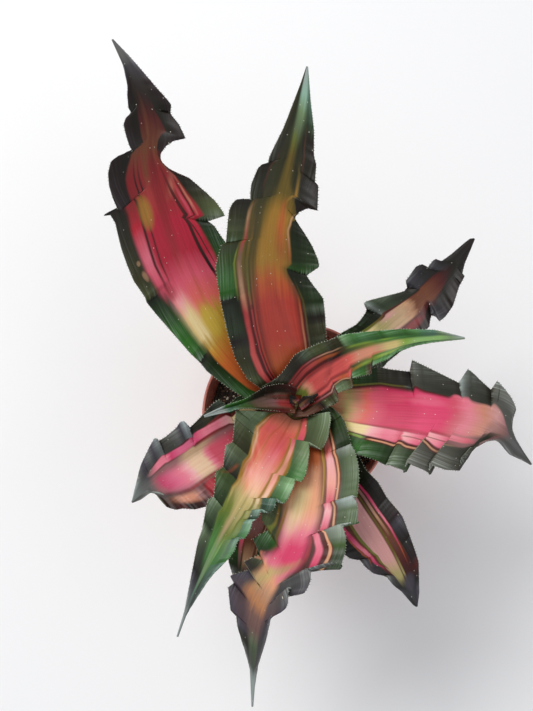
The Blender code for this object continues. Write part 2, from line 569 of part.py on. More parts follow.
def add_pot(collection, cutters):
    band = POT_HEIGHT - POT_BAND_HEIGHT
    under_band = pot_inside(band) + POT_WALL
    inner_lip = POT_RIM_RADIUS - POT_LIP
    foot = POT_BASE_RADIUS - POT_ROUND
    profile = [
        (inner_lip, POT_HEIGHT),
        (POT_RIM_RADIUS - POT_ROUND, POT_HEIGHT),
        (POT_RIM_RADIUS, POT_HEIGHT - POT_ROUND),
        (POT_RIM_RADIUS - POT_ROUND, band + POT_ROUND),
        (POT_RIM_RADIUS - 2 * POT_ROUND, band),
        (under_band, band - POT_ROUND),
        (POT_BASE_RADIUS, POT_ROUND),
        (foot, 0.0),
        (foot - POT_FOOT_WIDTH, 0.0),
        (foot - POT_FOOT_WIDTH - POT_ROUND, POT_FOOT_HEIGHT),
        (POT_PAD_RADIUS, POT_FOOT_HEIGHT),
        (POT_PAD_RADIUS - POT_ROUND, 0.0),
        (0.0, 0.0),
        (0.0, POT_FLOOR),
        (pot_inside(POT_FLOOR) - POT_ROUND, POT_FLOOR),
        (pot_inside(POT_FLOOR + POT_ROUND), POT_FLOOR + POT_ROUND),
        (pot_inside(band), band),
        (inner_lip - POT_ROUND, band + POT_WALL),
        (inner_lip, POT_HEIGHT - POT_ROUND),
        (inner_lip, POT_HEIGHT),
    ]
    pot = turned("pot", profile, POT_STEPS, collection)
    for index in range(DRAIN_HOLES):
        angle = 2 * math.pi * index / DRAIN_HOLES
        x = DRAIN_RING_RADIUS * math.cos(angle) * MM
        y = DRAIN_RING_RADIUS * math.sin(angle) * MM
        bpy.ops.mesh.primitive_cylinder_add(
            vertices=DRAIN_HOLE_STEPS,
            radius=DRAIN_HOLE_RADIUS * MM,
            depth=DRAIN_CUTTER_LENGTH * MM,
            location=(x, y, 0.0),
        )
        cutter = bpy.context.object
        cutter.name = f"drain_cutter_{index}"
        move_to(cutter, cutters)
        cut = pot.modifiers.new(f"drain_{index}", "BOOLEAN")
        cut.operation = "DIFFERENCE"
        cut.solver = "EXACT"
        cut.object = cutter
    finish(pot, "pot")


def move_to(made, collection):
    for other in list(made.users_collection):
        other.objects.unlink(made)
    collection.objects.link(made)
    made.hide_render = True
    made.display_type = "WIRE"


def add_soil(collection):
    """A plug that follows the pot's inside, with a lumpy top and a plain hole for the stem."""
    random = np.random.default_rng(SOIL_SEED)
    hole = STEM_RADIUS + STEM_HOLE_GAP
    edge = pot_inside(SOIL_TOP - SOIL_FALL) - 2 * SOIL_GAP
    points = []
    faces = []

    def ring(radius, height, lump=0.0):
        for index in range(SOIL_SPOKES):
            angle = 2 * math.pi * index / SOIL_SPOKES
            z = height + lump * random.uniform(-1.0, 1.0)
            points.append((radius * math.cos(angle), radius * math.sin(angle), z))

    for index in range(SOIL_RINGS):
        part = index / (SOIL_RINGS - 1)
        radius = hole + (edge - hole) * part
        ring(radius, SOIL_TOP - SOIL_FALL * part, SOIL_LUMP if 0 < index else 0.0)
    ring(pot_inside(SOIL_BASE + SOIL_BEVEL) - 2 * SOIL_GAP, SOIL_BASE + SOIL_BEVEL)
    ring(pot_inside(SOIL_BASE) - 2 * SOIL_GAP - SOIL_BEVEL, SOIL_BASE)
    top_count = len(points) // SOIL_SPOKES
    ring(hole, STEM_BASE - STEM_HOLE_GAP)
    points.append((0.0, 0.0, SOIL_BASE))
    points.append((0.0, 0.0, STEM_BASE - STEM_HOLE_GAP))
    for level in range(top_count - 1):
        for index in range(SOIL_SPOKES):
            a = level * SOIL_SPOKES + index
            b = level * SOIL_SPOKES + (index + 1) % SOIL_SPOKES
            faces.append((a, a + SOIL_SPOKES, b + SOIL_SPOKES, b))
    base = (top_count - 1) * SOIL_SPOKES
    floor = top_count * SOIL_SPOKES
    for index in range(SOIL_SPOKES):
        after = (index + 1) % SOIL_SPOKES
        faces.append((base + after, base + index, len(points) - 2))
        faces.append((index, after, floor + after, floor + index))
        faces.append((floor + index, floor + after, len(points) - 1))
    soil = new_object("soil", points, faces, collection)
    shape = bmesh.new()
    shape.from_mesh(soil.data)
    bmesh.ops.recalc_face_normals(shape, faces=shape.faces)
    shape.to_mesh(soil.data)
    shape.free()
    finish(soil, "soil")


def add_stem(collection):
    profile = [
        (0.0, STEM_TOP),
        (STEM_RADIUS * 0.5, STEM_TOP - 0.3),
        (STEM_RADIUS * 0.85, STEM_TOP - 1.4),
        (STEM_RADIUS, STEM_TOP - 3.5),
        (STEM_RADIUS, STEM_BASE + 2.0),
        (STEM_RADIUS * 0.6, STEM_BASE),
        (0.0, STEM_BASE),
    ]
    finish(turned("stem", profile, STEM_STEPS, collection), "stem")


def main():
    for old in list(bpy.data.objects):
        bpy.data.objects.remove(old)
    collection = bpy.data.collections.new("potted_earth_star")
    cutters = bpy.data.collections.new("cutters")
    cutters.hide_render = True
    bpy.context.scene.collection.children.link(collection)
    bpy.context.scene.collection.children.link(cutters)
    add_pot(collection, cutters)
    add_soil(collection)
    add_stem(collection)
    grids = settled_leaves()
    for name, leaf in LEAVES.items():
        add_leaf(name, leaf, grids[name], collection)


main()
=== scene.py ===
"""Potted earth star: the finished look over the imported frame."""

import math

import bmesh
import bpy
import numpy as np
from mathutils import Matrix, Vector


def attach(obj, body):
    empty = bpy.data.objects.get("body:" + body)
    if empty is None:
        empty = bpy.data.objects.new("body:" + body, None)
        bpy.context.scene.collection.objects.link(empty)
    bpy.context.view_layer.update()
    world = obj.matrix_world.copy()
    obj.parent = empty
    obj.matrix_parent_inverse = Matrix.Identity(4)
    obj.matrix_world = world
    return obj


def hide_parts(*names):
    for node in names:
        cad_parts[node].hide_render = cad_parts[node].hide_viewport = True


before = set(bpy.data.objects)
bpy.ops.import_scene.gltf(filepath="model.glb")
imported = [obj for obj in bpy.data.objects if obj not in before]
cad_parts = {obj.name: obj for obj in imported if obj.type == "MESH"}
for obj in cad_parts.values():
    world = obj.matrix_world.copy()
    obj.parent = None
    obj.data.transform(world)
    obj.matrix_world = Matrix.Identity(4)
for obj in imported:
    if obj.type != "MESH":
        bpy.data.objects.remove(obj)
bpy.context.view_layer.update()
scene = bpy.context.scene

MM = 0.001

# Same values as the part's source. Lengths are in millimetres.
LEAF_THICKNESS = 0.9
LEAF_GAP = 0.6
TIP_HALF_WIDTH = 0.4
LAYER_STEP = 1.7
FLAT_PART = 0.3
MARGIN_SLANT = 0.045
POINTED = 0.8
ROW_NEAREST = 0.009
ROW_CROWDING = 3.0
MARGIN_STEPS = 600
FINE_ROWS = 161
FINE_COLUMNS = 33
CELL = 0.5
FIELD_HALF = 190.0
SETTLE_PASSES = 5
FUNNEL = [(4, 77), (12, 81.5), (24, 89)]
CHANNEL = [(0.0, 0.25), (1.0, 0.1)]
LAYERS_ROUND_STEM = 9
CLASP_RADIUS = 4.8
POT_HEIGHT = 80.0
POT_RIM_RADIUS = 45.0
POT_BASE_RADIUS = 31.0
POT_WALL = 1.2
POT_BAND_HEIGHT = 11.0
POT_BAND_STEP = 1.4
POT_FOOT_HEIGHT = 2.0
DRAIN_HOLES = 8
DRAIN_HOLE_RADIUS = 3.5
DRAIN_RING_RADIUS = 21.0
SOIL_TOP = 73.0
SOIL_BASE = 3.5
SOIL_GAP = 0.3
STEM_RADIUS = 4.4
STEM_BASE = 58.0
STEM_TOP = 91.0
STEM_HOLE_GAP = 0.4

# The finer blades: grid, small waves and the spines along the margins, lengths in millimetres.
ROWS = 300
COLUMNS = 49
HEART_ROWS = 60
HEART_COLUMNS = 21
ROWS_APART = 1e-4
PARTS_OF_A_ROW = (0.0, 0.25, 0.5, 0.75)
JUST_INSIDE = 1.001
COLUMN_BUNCHING = 0.86
LEAF_SEED = 100
RIPPLE = 0.12
RIPPLE_CYCLES = (17, 23, 31, 43)
RIPPLE_SPREAD = (0.9, 1.1)
RIPPLE_FROM = 0.35
RIPPLE_END_FADE = 0.15
MARGIN_THINNING = 0.45
SPINE_STEP = 1.35
SPINE_STEP_SPREAD = (0.8, 1.25)
SPINE_LENGTH = 0.75
SPINE_LENGTH_SPREAD = (0.65, 1.15)
SPINE_FIRST = 8.0
SPINE_LAST = 3.0
SPINE_FADE = 30
SPINE_HALF_WIDTH = 0.32
SPINE_HALF_THICKNESS = 0.2
SPINE_SUNK = 0.15
SPINE_LEAN = 0.45
SPINE_LIFT = 0.1
SPINE_SIDES = ((0, 2), (2, 1), (1, 3), (3, 0))
SHORTEST_STEP = 0.05

# How far from the middle a spine's tip lies in the leaf map, where the margin lies at 0.5.
SPINE_TIP_MAP = 0.56

# The pot's skin.
POT_STEPS = 144
POT_ROUNDING = 0.5
POT_LEVEL_HEIGHT = 12
POT_WOBBLE = 0.12
POT_WOBBLE_TURN = 0.6
ON_THE_AXIS = 0.001
CORNER_SHARE = 0.45
CORNER_PARTS = (0.0, 0.33, 0.67, 1.0)
DRAIN_CUT_STEPS = 40
DRAIN_CUT_DEPTH = 12

# The soil's skin: a plug with a rough top, and crumbs half sunk in it.
SOIL_SEED = 11
SOIL_STEPS = 260
SOIL_LEVELS = 75
SOIL_FALL = 1.2
SOIL_EDGE_GAP = 0.3
HILLS = ((26, 0.5), (14, 0.45), (8, 0.4), (4.5, 0.35), (2.6, 0.25))
HILLS_OF_A_SIZE = 5
HILLS_AT_STEM = 0.2
HILL_PHASE = 6.28
SOIL_CHAMFER = 1.0
SOIL_FOOT_GAP = 0.4
CRUMBS = 2300
CRUMB_HOLE_GAP = 1.2
CRUMB_EDGE_GAP = 1.3
CRUMB_SIZE = (0.25, 0.75)
PALE_CRUMB = 0.9
PALE_CRUMB_GROWTH = 1.25
BARK_CRUMB = (0.5, 0.93)
BARK_LENGTH = (1.0, 2.6)
PEAT_LENGTH = (0.8, 1.3)
CRUMB_LUMPS = (0.75, 1.2)
CRUMB_FLATNESS = 0.7
CRUMB_LEAN = 0.6
CRUMB_LIFT = 0.25

# The stem's skin, with a ring at each old leaf scar.
STEM_STEPS = 56
SCAR_STEP = 1.9
SCAR_DEPTH = 0.25
SCAR_HEIGHT = 0.8

# The photo's view: its size, the focal length and the middle of the pot's rim in pixels, then degrees
# and millimetres.
PHOTO_WIDTH = 533
PHOTO_HEIGHT = 711
FOCAL_PIXELS = 1365.0
RIM_PIXEL_X = 296.5
RIM_PIXEL_Y = 414.0
VIEW_ELEVATION = 78.0
VIEW_DISTANCE = 650.0
SENSOR_HEIGHT = 24.0
CLIP_START = 0.01

# Lights and floor, in metres and watts.
LIGHT_AIM = (0.0, 0.0, 0.09)
SKY_COLOUR = (0.93, 0.95, 1.0, 1.0)
SKY_STRENGTH = 0.48
FLOOR_RADIUS = 4.0
FLOOR_HEIGHT = -0.0004
FLOOR_STEPS = 64

# A leaf's material. Lengths across a blade are shares of the span that place_across covers. Scales
# are cells of the noise in a millimetre, across and along the blade.
ACROSS_SPAN = 3
WANDER_SCALE = (0.05, 0.03)
WANDER = 0.024
FINE_FIBRE_SCALE = (1.3, 0.03)
BROAD_FIBRE_SCALE = (0.55, 0.025)
FINE_SHARE = 0.6
FIBRE_STRENGTH = 0.3
SHADE = (0.3, 0.3, 0.3)
SHINE = (0.7, 0.7, 0.7)
STRIPE_FRAY = 0.05
FLAP_FRAY = 0.012
# How each flap's painted highlight at its start fades to painted shade at its end.
SHARP_START = 0.003
FLAP_MIDDLE = 0.4
FLAP_FADE = 0.6
# Pale silver scurf on the margins with painted sheen on it, strongest on each flap's lit start and near the
# outer edge.
SCURF_AND_SHEEN = 0.5
SOFT_SCURF_AND_SHEEN = 0.4
MIDDLE_SCURF_AND_SHEEN = 0.3
FULL_SCURF_AND_SHEEN_GREEN = 0.15
SCURF_AND_SHEEN_ACROSS = (0.2, 0.333)
SCURF_AND_SHEEN_FIBRES = (0.42, 0.62)
# Painted shade that darkens the inner part of each margin, towards the stripes, with black-green.
INNER_MARGIN_SHADE = 0.45
INNER_MARGIN_SHADE_ACROSS = (0.3, 0.2)
PATCH_FRAY = 0.8
PATCH_RIM = 1.3
PATCH_HEART = 0.1
SPECK_CELLS = 0.28
SPECK_RIM = 0.07
SPECK_HEART = 0.04
SPECK_CHOICE = 0.84
SPECK_STRENGTH = 0.8
SPINE_ACROSS = (0.334, 0.345)
SPINE_STRENGTH = 0.8
UNDERSIDE_STRENGTH = 0.62
LEAF_ROUGHNESS = 0.32
UNDER_ROUGHNESS = 0.5
LEAF_ROUGH_SWING = 0.2
LEAF_SPECULAR = 0.25

# The other materials.
DUST_STRENGTH = 0.35
DIRT_STRENGTH = 0.25
POT_ROUGHNESS = 0.38
POT_ROUGH_SWING = 0.25
BITS_STRENGTH = 0.5
SOIL_ROUGHNESS = 0.92
GRAIN_STRENGTH = 0.5
CRUMB_ROUGHNESS = 0.85
STEM_ROUGHNESS = 0.6
FLOOR_ROUGHNESS = 0.75

# From the lowest leaf to the topmost: the rise as (radius, height), the midline and the two margins in
# plan. A third value is the height of the fold there. All are in millimetres, but a slant is a share of
# the leaf's length, and a channel is (share of the length, depth as a share of half the width).
LEAVES = {
    "leaf_low_front": {
        "rise": [(45, 94), (75, 95), (100, 86)],
        "mid": [(-1, -3), (-2.5, -7.5), (-8, -22.5), (-14.5, -40), (-20, -56.5), (-23.5, -70),
            (-27, -83)],
        "left": [(3.5, -2), (7, -13), (4, -30.5), (-2.5, -46, 1.5), (-5, -50, -1), (-6.5, -56.5, 2),
            (-12, -61, -1), (-12.5, -68, 1.5), (-20, -77)],
        "right": [(-5, -1), (-14.5, -5.5), (-22, -21), (-29, -38), (-31.5, -49.5, 1.5),
            (-29.5, -54, -1), (-32, -61, 2), (-31.5, -70.5), (-29, -78.5)],
    },
    "leaf_right_front": {
        "rise": [(45, 95), (75, 97), (105, 90)],
        "mid": [(2, -2), (7, -7), (12, -18.5), (19.5, -32.5), (26.5, -45), (35, -59), (43, -72),
            (49, -82.5), (54, -90.5)],
        "left": [(5, 1.5), (16.5, -3), (24.5, -14.5), (31, -29), (36.5, -35, 1), (40.5, -42, -0.5),
            (47, -50.5, 1.5), (50.5, -59, 0), (54.5, -71, 1), (55, -84.5, 0.5)],
        "right": [(-2, -4), (-1.5, -15.5), (5, -33), (20.5, -67.5, 1), (23.5, -69.5, 0), (26.5, -70, -0.5),
            (27.5, -69.5, -1.5), (28.5, -71, 1), (30, -73, 1), (34, -76, 0), (39, -77, -1),
            (40, -77.5, 0.5), (43, -81, 0), (47, -84), (52.5, -90)],
    },
    "leaf_right_back": {
        "rise": [(45, 96), (75, 101), (115, 101)],
        "mid": [(1.5, 2.5), (4.5, 9.5), (9, 12.5), (18, 19.5), (29.5, 29.5), (42.5, 40.5), (55, 50.5),
            (65.5, 59.5), (74, 69), (83.5, 79.5)],
        "left": [(-1.5, 4.8), (1.5, 11.5), (4, 21.5), (13, 30), (22, 35.5, 0.5), (27.5, 38.5, 0),
            (29.5, 40.5, 0.5), (32, 44, 0), (32.5, 46, -1.5), (31, 47.5, 2.5), (32, 48.5, 2), (50, 54, -1),
            (51.5, 56, -1.5), (50.5, 58, 1.5), (52, 60, 2), (55.5, 65, 1), (58.5, 66.5, 0), (59, 64, -1.5),
            (61, 64, -1.5), (61.5, 65.5, 1), (63.5, 68, 1.2), (65, 69, 0.5), (65.5, 68, -0.3),
            (67, 68, -0.6), (72, 71.5), (81.5, 79.5)],
        "right": [(5, 0), (15.5, 5.5), (28.5, 10), (40, 18.5, 1), (42, 21, -1), (47.5, 25, 1), (54.5, 31),
            (61, 36.5, 1), (61.5, 40, 0), (62.5, 42.5, -2), (64.5, 41, 0), (65.5, 38.5, 2.5),
            (68, 40.5, 1.5), (72, 46, 0.5), (75.5, 56, 0.5), (78, 60.5, 0.8), (77, 61, -0.5), (78.5, 67),
            (82, 75)],
    },
    "leaf_left": {
        "rise": [(45, 96), (75, 98), (95, 92)],
        "mid": [(-2.8, 0.8), (-10.5, -1), (-19, -6.5), (-30, -14), (-42.5, -21), (-52.5, -28),
            (-62.5, -35), (-69.5, -39.5), (-75.5, -44)],
        "left": [(-1.5, -4.5), (-6.5, -16.5), (-16.5, -26.5), (-26.5, -34), (-34.5, -40.5),
            (-41, -46.5, 0.5), (-46.5, -48, 2), (-52.5, -47.5, 0.5), (-55, -48, 1), (-57, -47.5, 1),
            (-59.5, -46.5, 2), (-59, -45, -0.5), (-59, -43, -1), (-60, -41.5, -0.5), (-63, -40, 0.5),
            (-66, -39.5, 0), (-71.5, -43)],
        "right": [(-4.6, 3.2), (-12.5, 8.5), (-20.5, 6.5), (-28, 4.5, 1), (-32.5, 0.5, -1), (-36, 2.5, 2),
            (-39, 0.5), (-45, -6, 0), (-49.5, -10, -2), (-52, -8, 3), (-53.5, -8.5, 2.5), (-55.5, -11, 1),
            (-60.5, -15, -0.5), (-63.5, -16.5, -1.8), (-64, -16, 1), (-65, -16, 2.5), (-70.5, -25.5, -0.5),
            (-71.5, -28, 0.5), (-75.5, -43)],
    },
    "leaf_right": {
        "rise": [(45, 97), (75, 102), (105, 97), (125, 88)],
        "mid": [(2.7, 1), (11, 2), (20, 0), (31, -2), (47, -3.5), (62.5, -5), (76, -6.5),
            (87.5, -9.5), (96.5, -15.5), (106.5, -27)],
        "left": [(2, 5), (9, 13.5), (17, 15), (25.5, 15.5, 1), (37.5, 17, 1.5), (42, 16, 0.5),
            (51.5, 15, -2), (52, 19, 3.5), (56, 17.5, 1.5), (71, 10.5, -1), (73.5, 9.5, -2),
            (77, 14.5, 3.5), (88.5, 6.5, -2), (90.5, 9.5, 3), (92, 8.5, 2), (95, 5.5, 1), (97.5, 2.5, 0.5),
            (99, -0.5, 0.5), (99.5, -2.5, 0.5), (98, -3.5, -0.5), (98, -6, 0.5), (97.5, -8.5, -0.3),
            (97.5, -11, 0), (99.5, -16), (103, -21.5)],
        "right": [(3, -4), (8.5, -8), (15, -16), (26.5, -22.5, -1), (29.5, -24, 2), (34, -25.5, 1.5),
            (39.5, -28, -1.5), (41, -28.5, 1.5), (44.5, -30, 1.5), (50.5, -32, -1.5), (51.5, -30.5, 2),
            (56, -31, 1.5), (60, -33, -1.5), (61, -30.5, 2), (66, -31, 1.5), (72.5, -31, -1.2),
            (73, -25.5, 0.5), (76.5, -24.5, 0.3), (78, -20.5, 0), (81, -20, 0), (82, -18.5, 0),
            (88.5, -16.5), (91, -17.5), (96, -23), (102.5, -25.5)],
    },
    "leaf_back_left": {
        "rise": [(45, 99), (75, 112), (110, 126), (150, 138), (175, 142)],
        "mid": [(-1.7, 2.4), (-9.5, 8.5), (-16.5, 13), (-25, 21), (-35, 32), (-44, 46), (-52.5, 62.5),
            (-59.5, 81), (-64.5, 97), (-66.5, 109), (-67, 122), (-73, 137), (-83.5, 158.5)],
        "left": [(-5, -0.5), (-16.5, 3.5), (-24.5, 4), (-33.5, 9, 1), (-41.5, 14.5, 2), (-44.5, 18.5, -1),
            (-48, 21, 2), (-52.5, 26, 0), (-68, 43, -1), (-68.5, 44.5, 2), (-73.5, 51.5, 1),
            (-76.5, 58.5, 0), (-79, 65.5, 0), (-80.5, 71.5, 0), (-81.5, 76, 1), (-83.5, 79, 2),
            (-87, 81, 3), (-79, 79.5, -1.5), (-80, 81, 1), (-82.5, 86.5, 2.5), (-84, 91.5, 3),
            (-84.5, 97, 2.5), (-83.5, 102.5, 1.5), (-80.5, 105.5, 0.5), (-77, 107, 0),
            (-73.5, 107.5, -1.5), (-75.5, 110.5, 1), (-77, 115, 2.5), (-78, 119.5, 1.5), (-77, 123, 0),
            (-74.5, 125, -1), (-76, 127.5, 0.5), (-76.5, 133.5, 1), (-76.5, 137, 0.5), (-78.5, 146.5)],
        "right": [(2, 4.8), (-3.5, 18.5), (-9, 29), (-16.5, 44, 1), (-25, 61, 2), (-35, 73.5, 1.5),
            (-38, 78, 0.5), (-41, 80.5, -1.5), (-33, 81.5, 3.5), (-37.5, 88, 2), (-49, 98, 0),
            (-55.5, 100.5, 0), (-59, 102.5, -0.5), (-61, 104.5, -1), (-62, 106.5, -1), (-62, 108.5, -1),
            (-59.5, 111.5, 0), (-56, 113.5, 1), (-50.5, 114, 3), (-53.5, 120.5, 1), (-57.5, 126, -0.5),
            (-57, 129, 1), (-63.5, 136.5), (-75, 150)],
    },
    "leaf_front": {
        "rise": [(45, 98), (75, 103), (110, 101), (145, 90)],
        "mid": [(1.5, -2.4), (4.5, -7), (7.5, -15), (8.5, -27), (6.5, -41.5), (3, -55.5), (-2.5, -68),
            (-9, -79.5), (-14.5, -91), (-18, -103.5), (-20, -117.5), (-20.5, -134)],
        "left": [(5, -0.5), (15.5, 0.5), (20, -4.5, 0), (21.5, -8, 1.5), (23.5, -15.5, 0), (24, -18, -1.5),
            (24, -19, 1), (25.5, -22, 2.5), (27, -30, 1.5), (27, -35, 0.5), (26, -43, -1.5),
            (25, -43.5, 1), (25.5, -45.5, 2.5), (26, -49.5, 1.5), (25.5, -57, -1), (25, -58.5, -1.5),
            (20, -58, 1), (20.5, -61, 2.5), (20.5, -65.5, 1), (20, -68.5, 0.5), (17, -77, -1),
            (15.5, -80, -1.2), (13, -82, -1.5), (9.5, -78.5, -0.5), (6.5, -78, 1.5), (5, -79.5, 2),
            (4, -82.5, 1), (2.5, -85, 0), (0.5, -86, -1), (-2.5, -85, -1), (-3.5, -85.5, -1.5),
            (-4, -87, 1.5), (-5, -90, 2), (-6, -92, 1), (-8, -93.5, 0), (-10.5, -93.5, -0.5),
            (-12, -94.5, -1), (-12.5, -96.5, 0.5), (-14.5, -105.5), (-18, -116.5), (-19.5, -126)],
        "left_slant": 0.07,
        "right_slant": 0.07,
        "right": [(-3, -4), (-11, -4), (-13.5, -15), (-14.5, -30), (-15.5, -44), (-16.5, -53, 2),
            (-13.5, -57.5, -1.5), (-20, -62, 2), (-17, -68.5, -1.5), (-24, -72, 2), (-21, -75, -1.5),
            (-30, -78, 2.5), (-28.5, -81, -1), (-31, -83, 1.5), (-30, -92.5, 0), (-27.5, -95, 0),
            (-27, -99.5, 0), (-21.5, -117.5)],
    },
    "leaf_back": {
        "rise": [(45, 100), (75, 114), (110, 127), (150, 138)],
        "mid": [(-0.5, 2.9), (-3, 13), (-6, 20), (-9, 32.5), (-11.5, 47.5), (-12.5, 66), (-10, 85),
            (-5, 104), (-0.5, 123.5), (4, 146.5)],
        "left": [(-5, 1.5), (-16, 8), (-23, 12), (-28.5, 20.5), (-32, 31.5, 0), (-35, 45, -1),
            (-35.5, 48, 1.5), (-36.5, 54, 2.5), (-37, 58.5, 2), (-36, 63.5, 0.5), (-34.5, 68.5, 0),
            (-32.5, 70, -1.5), (-32, 74, 1.5), (-31.5, 78.5, 2.5), (-31, 83, 1.5), (-29.5, 86.5, 0.5),
            (-27.5, 88.5, 0), (-21.5, 87.5, -1.5), (-21.5, 91, 1), (-21, 94.5, 2.5), (-18, 102, 1),
            (-16.5, 103.5, 0), (-13.5, 105, -1.2), (-13, 107, 0), (-10, 113, 0.5), (-6.5, 120, 0),
            (1, 139)],
        "right": [(4.5, 2.5), (9.5, 13.5), (12.5, 22), (13, 30.5), (12.5, 39, 0), (11.5, 46.5, 1),
            (4, 57.5, -2), (9.5, 59.5, 3.5), (9, 62.5, 2.5), (6.5, 68.5, 1.5), (3, 74.5, 0.5),
            (-1.5, 82, -2), (0.5, 84, -0.5), (4.5, 85, 1), (8.5, 83, 4), (9, 94.5, 0.5), (7.5, 96.5, -0.5),
            (8, 103.5, 1), (7, 108, 0), (7, 118.5, 0), (5.5, 131.5, 0)],
    },
    "leaf_front_left": {
        "rise": [(45, 100), (75, 107), (110, 104), (128, 99)],
        "mid": [(-1, -2.6), (-2.2, -5.5), (-5.5, -11.5), (-13.5, -25), (-21.5, -40), (-29.5, -55),
            (-37, -69), (-43, -81.5), (-49, -93.5), (-53, -104)],
        "left": [(8, -3), (14.5, -2.5), (15, -6, 1), (13.5, -15.5, 0), (10.5, -20.5, -1.5),
            (5, -16.5, 0.5), (5, -22.5, 2.5), (3.5, -32, 0), (2, -35, -1), (1, -36, -1.5),
            (-1.5, -35, 0.5), (-2, -38, 2.2), (-5, -44.5, -0.5), (-7, -46.5, -1.5), (-10, -44, 0.5),
            (-10.5, -47.5, 2), (-11.5, -49.5, 0), (-13.5, -50.5, -1.2), (-16.5, -49, 0.5),
            (-17.5, -52, 1.5), (-19, -53.5, -0.5), (-20.5, -54.5, 0.5), (-21.5, -58.5, 1.5),
            (-24, -62, -1), (-25.5, -61.5, 0), (-27.5, -64.5, 0.5), (-28, -67, 0.5), (-30.5, -70.5, 0.5),
            (-32, -72, -0.5), (-36.5, -76.5, 0.5), (-39.5, -80, 0), (-49, -94.5)],
        "right": [(-5.5, -1.5), (-28, -3.5), (-28.5, -7, 0), (-29.5, -18, -1), (-32.5, -20.5, 2),
            (-33.5, -30, -1), (-36.5, -32.5, 2), (-37.5, -43.5, -1), (-40, -45.5, 1.5),
            (-42.5, -58.5, 0), (-44, -63, 0.5), (-48, -83.5), (-50, -93.5)],
    },
    "leaf_young_right": {
        "rise": [(45, 103), (60, 107), (80, 107)],
        "mid": [(2.5, 6.5), (4, 9), (8.5, 12.5), (17.5, 18), (30.5, 23), (43.5, 25), (55, 26.5),
            (75, 27.5)],
        "left": [(-16.5, 8.5), (-10, 12.5, 0.5), (-7, 15.5, 0), (-1, 23, 1), (4, 25.5, 0),
            (21.5, 30.5, 0.7), (46, 31.5, 0.3), (61.5, 31), (70.5, 29)],
        "right": [(-2, -4), (4, -3.8), (11, -1.5, 0.5), (18.5, 1.5, 1.5), (18.5, 6, -1), (25, 7.5, 1.5),
            (25, 12, -1), (33, 12.5, 1.5), (33, 16, -1), (40.5, 18.5, 1), (45, 21.5, 0), (52.5, 24),
            (61.5, 25.5)],
    },
    "leaf_young_left": {
        "rise": [(35, 94), (45, 95)],
        "mid": [(-1.5, 5), (-5.5, 5), (-12.5, 4), (-19.5, 1.5), (-26.5, -0.5), (-33, -3),
            (-42.5, -6.5)],
        "left": [(-1, -3), (-21.5, -2), (-37, -5.5)],
        "right": [(0, 8.5), (-3.5, 10), (-8, 10), (-15, 8), (-20.5, 4.5), (-24.5, 2), (-33, -1.5)],
        "channel": [(0, 0.8), (0.5, 0.9), (1, 0.5)],
    },
    "heart_leaf_1": {
        "rise": [(45, 101)],
        "mid": [(1, 1), (4, 3.5), (9.5, 6)],
        "left": [(0, 3), (3, 5.5), (6, 5.5)],
        "right": [(2, -1), (5, 1), (7.5, 3.5)],
    },
    "heart_leaf_2": {
        "rise": [(45, 101)],
        "mid": [(-0.5, 2), (-2, 3.5), (-3.5, 5.5)],
        "left": [(-2, 0.5), (-3.5, 2.5)],
        "right": [(1, 3.5), (-0.5, 5)],
    },
}

# These rows slant more than in the solids, so the flaps of this margin lean over each other.
LEAVES["leaf_right"]["right_slant"] = 0.11

# Where a flap folds back over the next one: the leaf, its margin, the flap's first point and where it goes.
FOLDED_BACK = [
    ("leaf_right", "right", (51.5, -30.5), (46.0, -26.5)),
    ("leaf_right", "right", (61, -30.5), (57.5, -28.0)),
    ("leaf_front", "left", (25, -43.5), (23.5, -42.5)),
    ("leaf_front", "left", (20, -58), (18.5, -53.0)),
    ("leaf_front", "left", (6.5, -78), (5.0, -70.5)),
    ("leaf_front", "left", (-4, -87), (-4.5, -81.5)),
]
for name, side, old, new in FOLDED_BACK:
    points = LEAVES[name][side]
    index = [point[:2] for point in points].index(old)
    points[index] = (*new, *points[index][2:])


def smooth_step(value, low, high):
    part = np.clip((value - low) / (high - low), 0.0, 1.0)
    return part * part * (3.0 - 2.0 * part)


def curve(knots, values, at, level=False):
    """A smooth curve through the values. With level it turns flat at each high and low."""
    knots = np.asarray(knots, float)
    values = np.asarray(values, float)
    step = np.diff(values, axis=0) / np.diff(knots).reshape([-1] + [1] * (values.ndim - 1))
    slope = np.gradient(values, knots, axis=0)
    if level:
        before = step[:-1]
        after = step[1:]
        same_way = before * after > 0
        total = np.where(same_way, before + after, 1.0)
        slope[1:-1] = np.where(same_way, 2.0 * before * after / total, 0.0)
    at = np.clip(at, knots[0], knots[-1])
    index = np.clip(np.searchsorted(knots, at, side="right") - 1, 0, len(knots) - 2)
    width = knots[index + 1] - knots[index]
    part = (at - knots[index]) / width
    if values.ndim == 2:
        width = width[..., None]
        part = part[..., None]
    near = (1 + 2 * part) * (1 - part) ** 2 * values[index] + part * (1 - part) ** 2 * width * slope[index]
    far = part**2 * (3 - 2 * part) * values[index + 1] + part**2 * (part - 1) * width * slope[index + 1]
    return near + far


def pointed(knots, values, at):
    """A curve part of the way to straight lines between the values, so its corners stay sharp."""
    rounded = curve(knots, values, at, level=True)
    straight = np.stack([np.interp(at, knots, column) for column in values.T], axis=1)
    return rounded + (straight - rounded) * POINTED


def midline(leaf):
    """The midline's points and where along the leaf, 0 to 1, each one lies."""
    points = np.array(leaf["mid"], float)
    lengths = np.hypot(*np.diff(points, axis=0).T)
    along = np.concatenate([[0.0], np.cumsum(lengths)])
    return along / along[-1], points


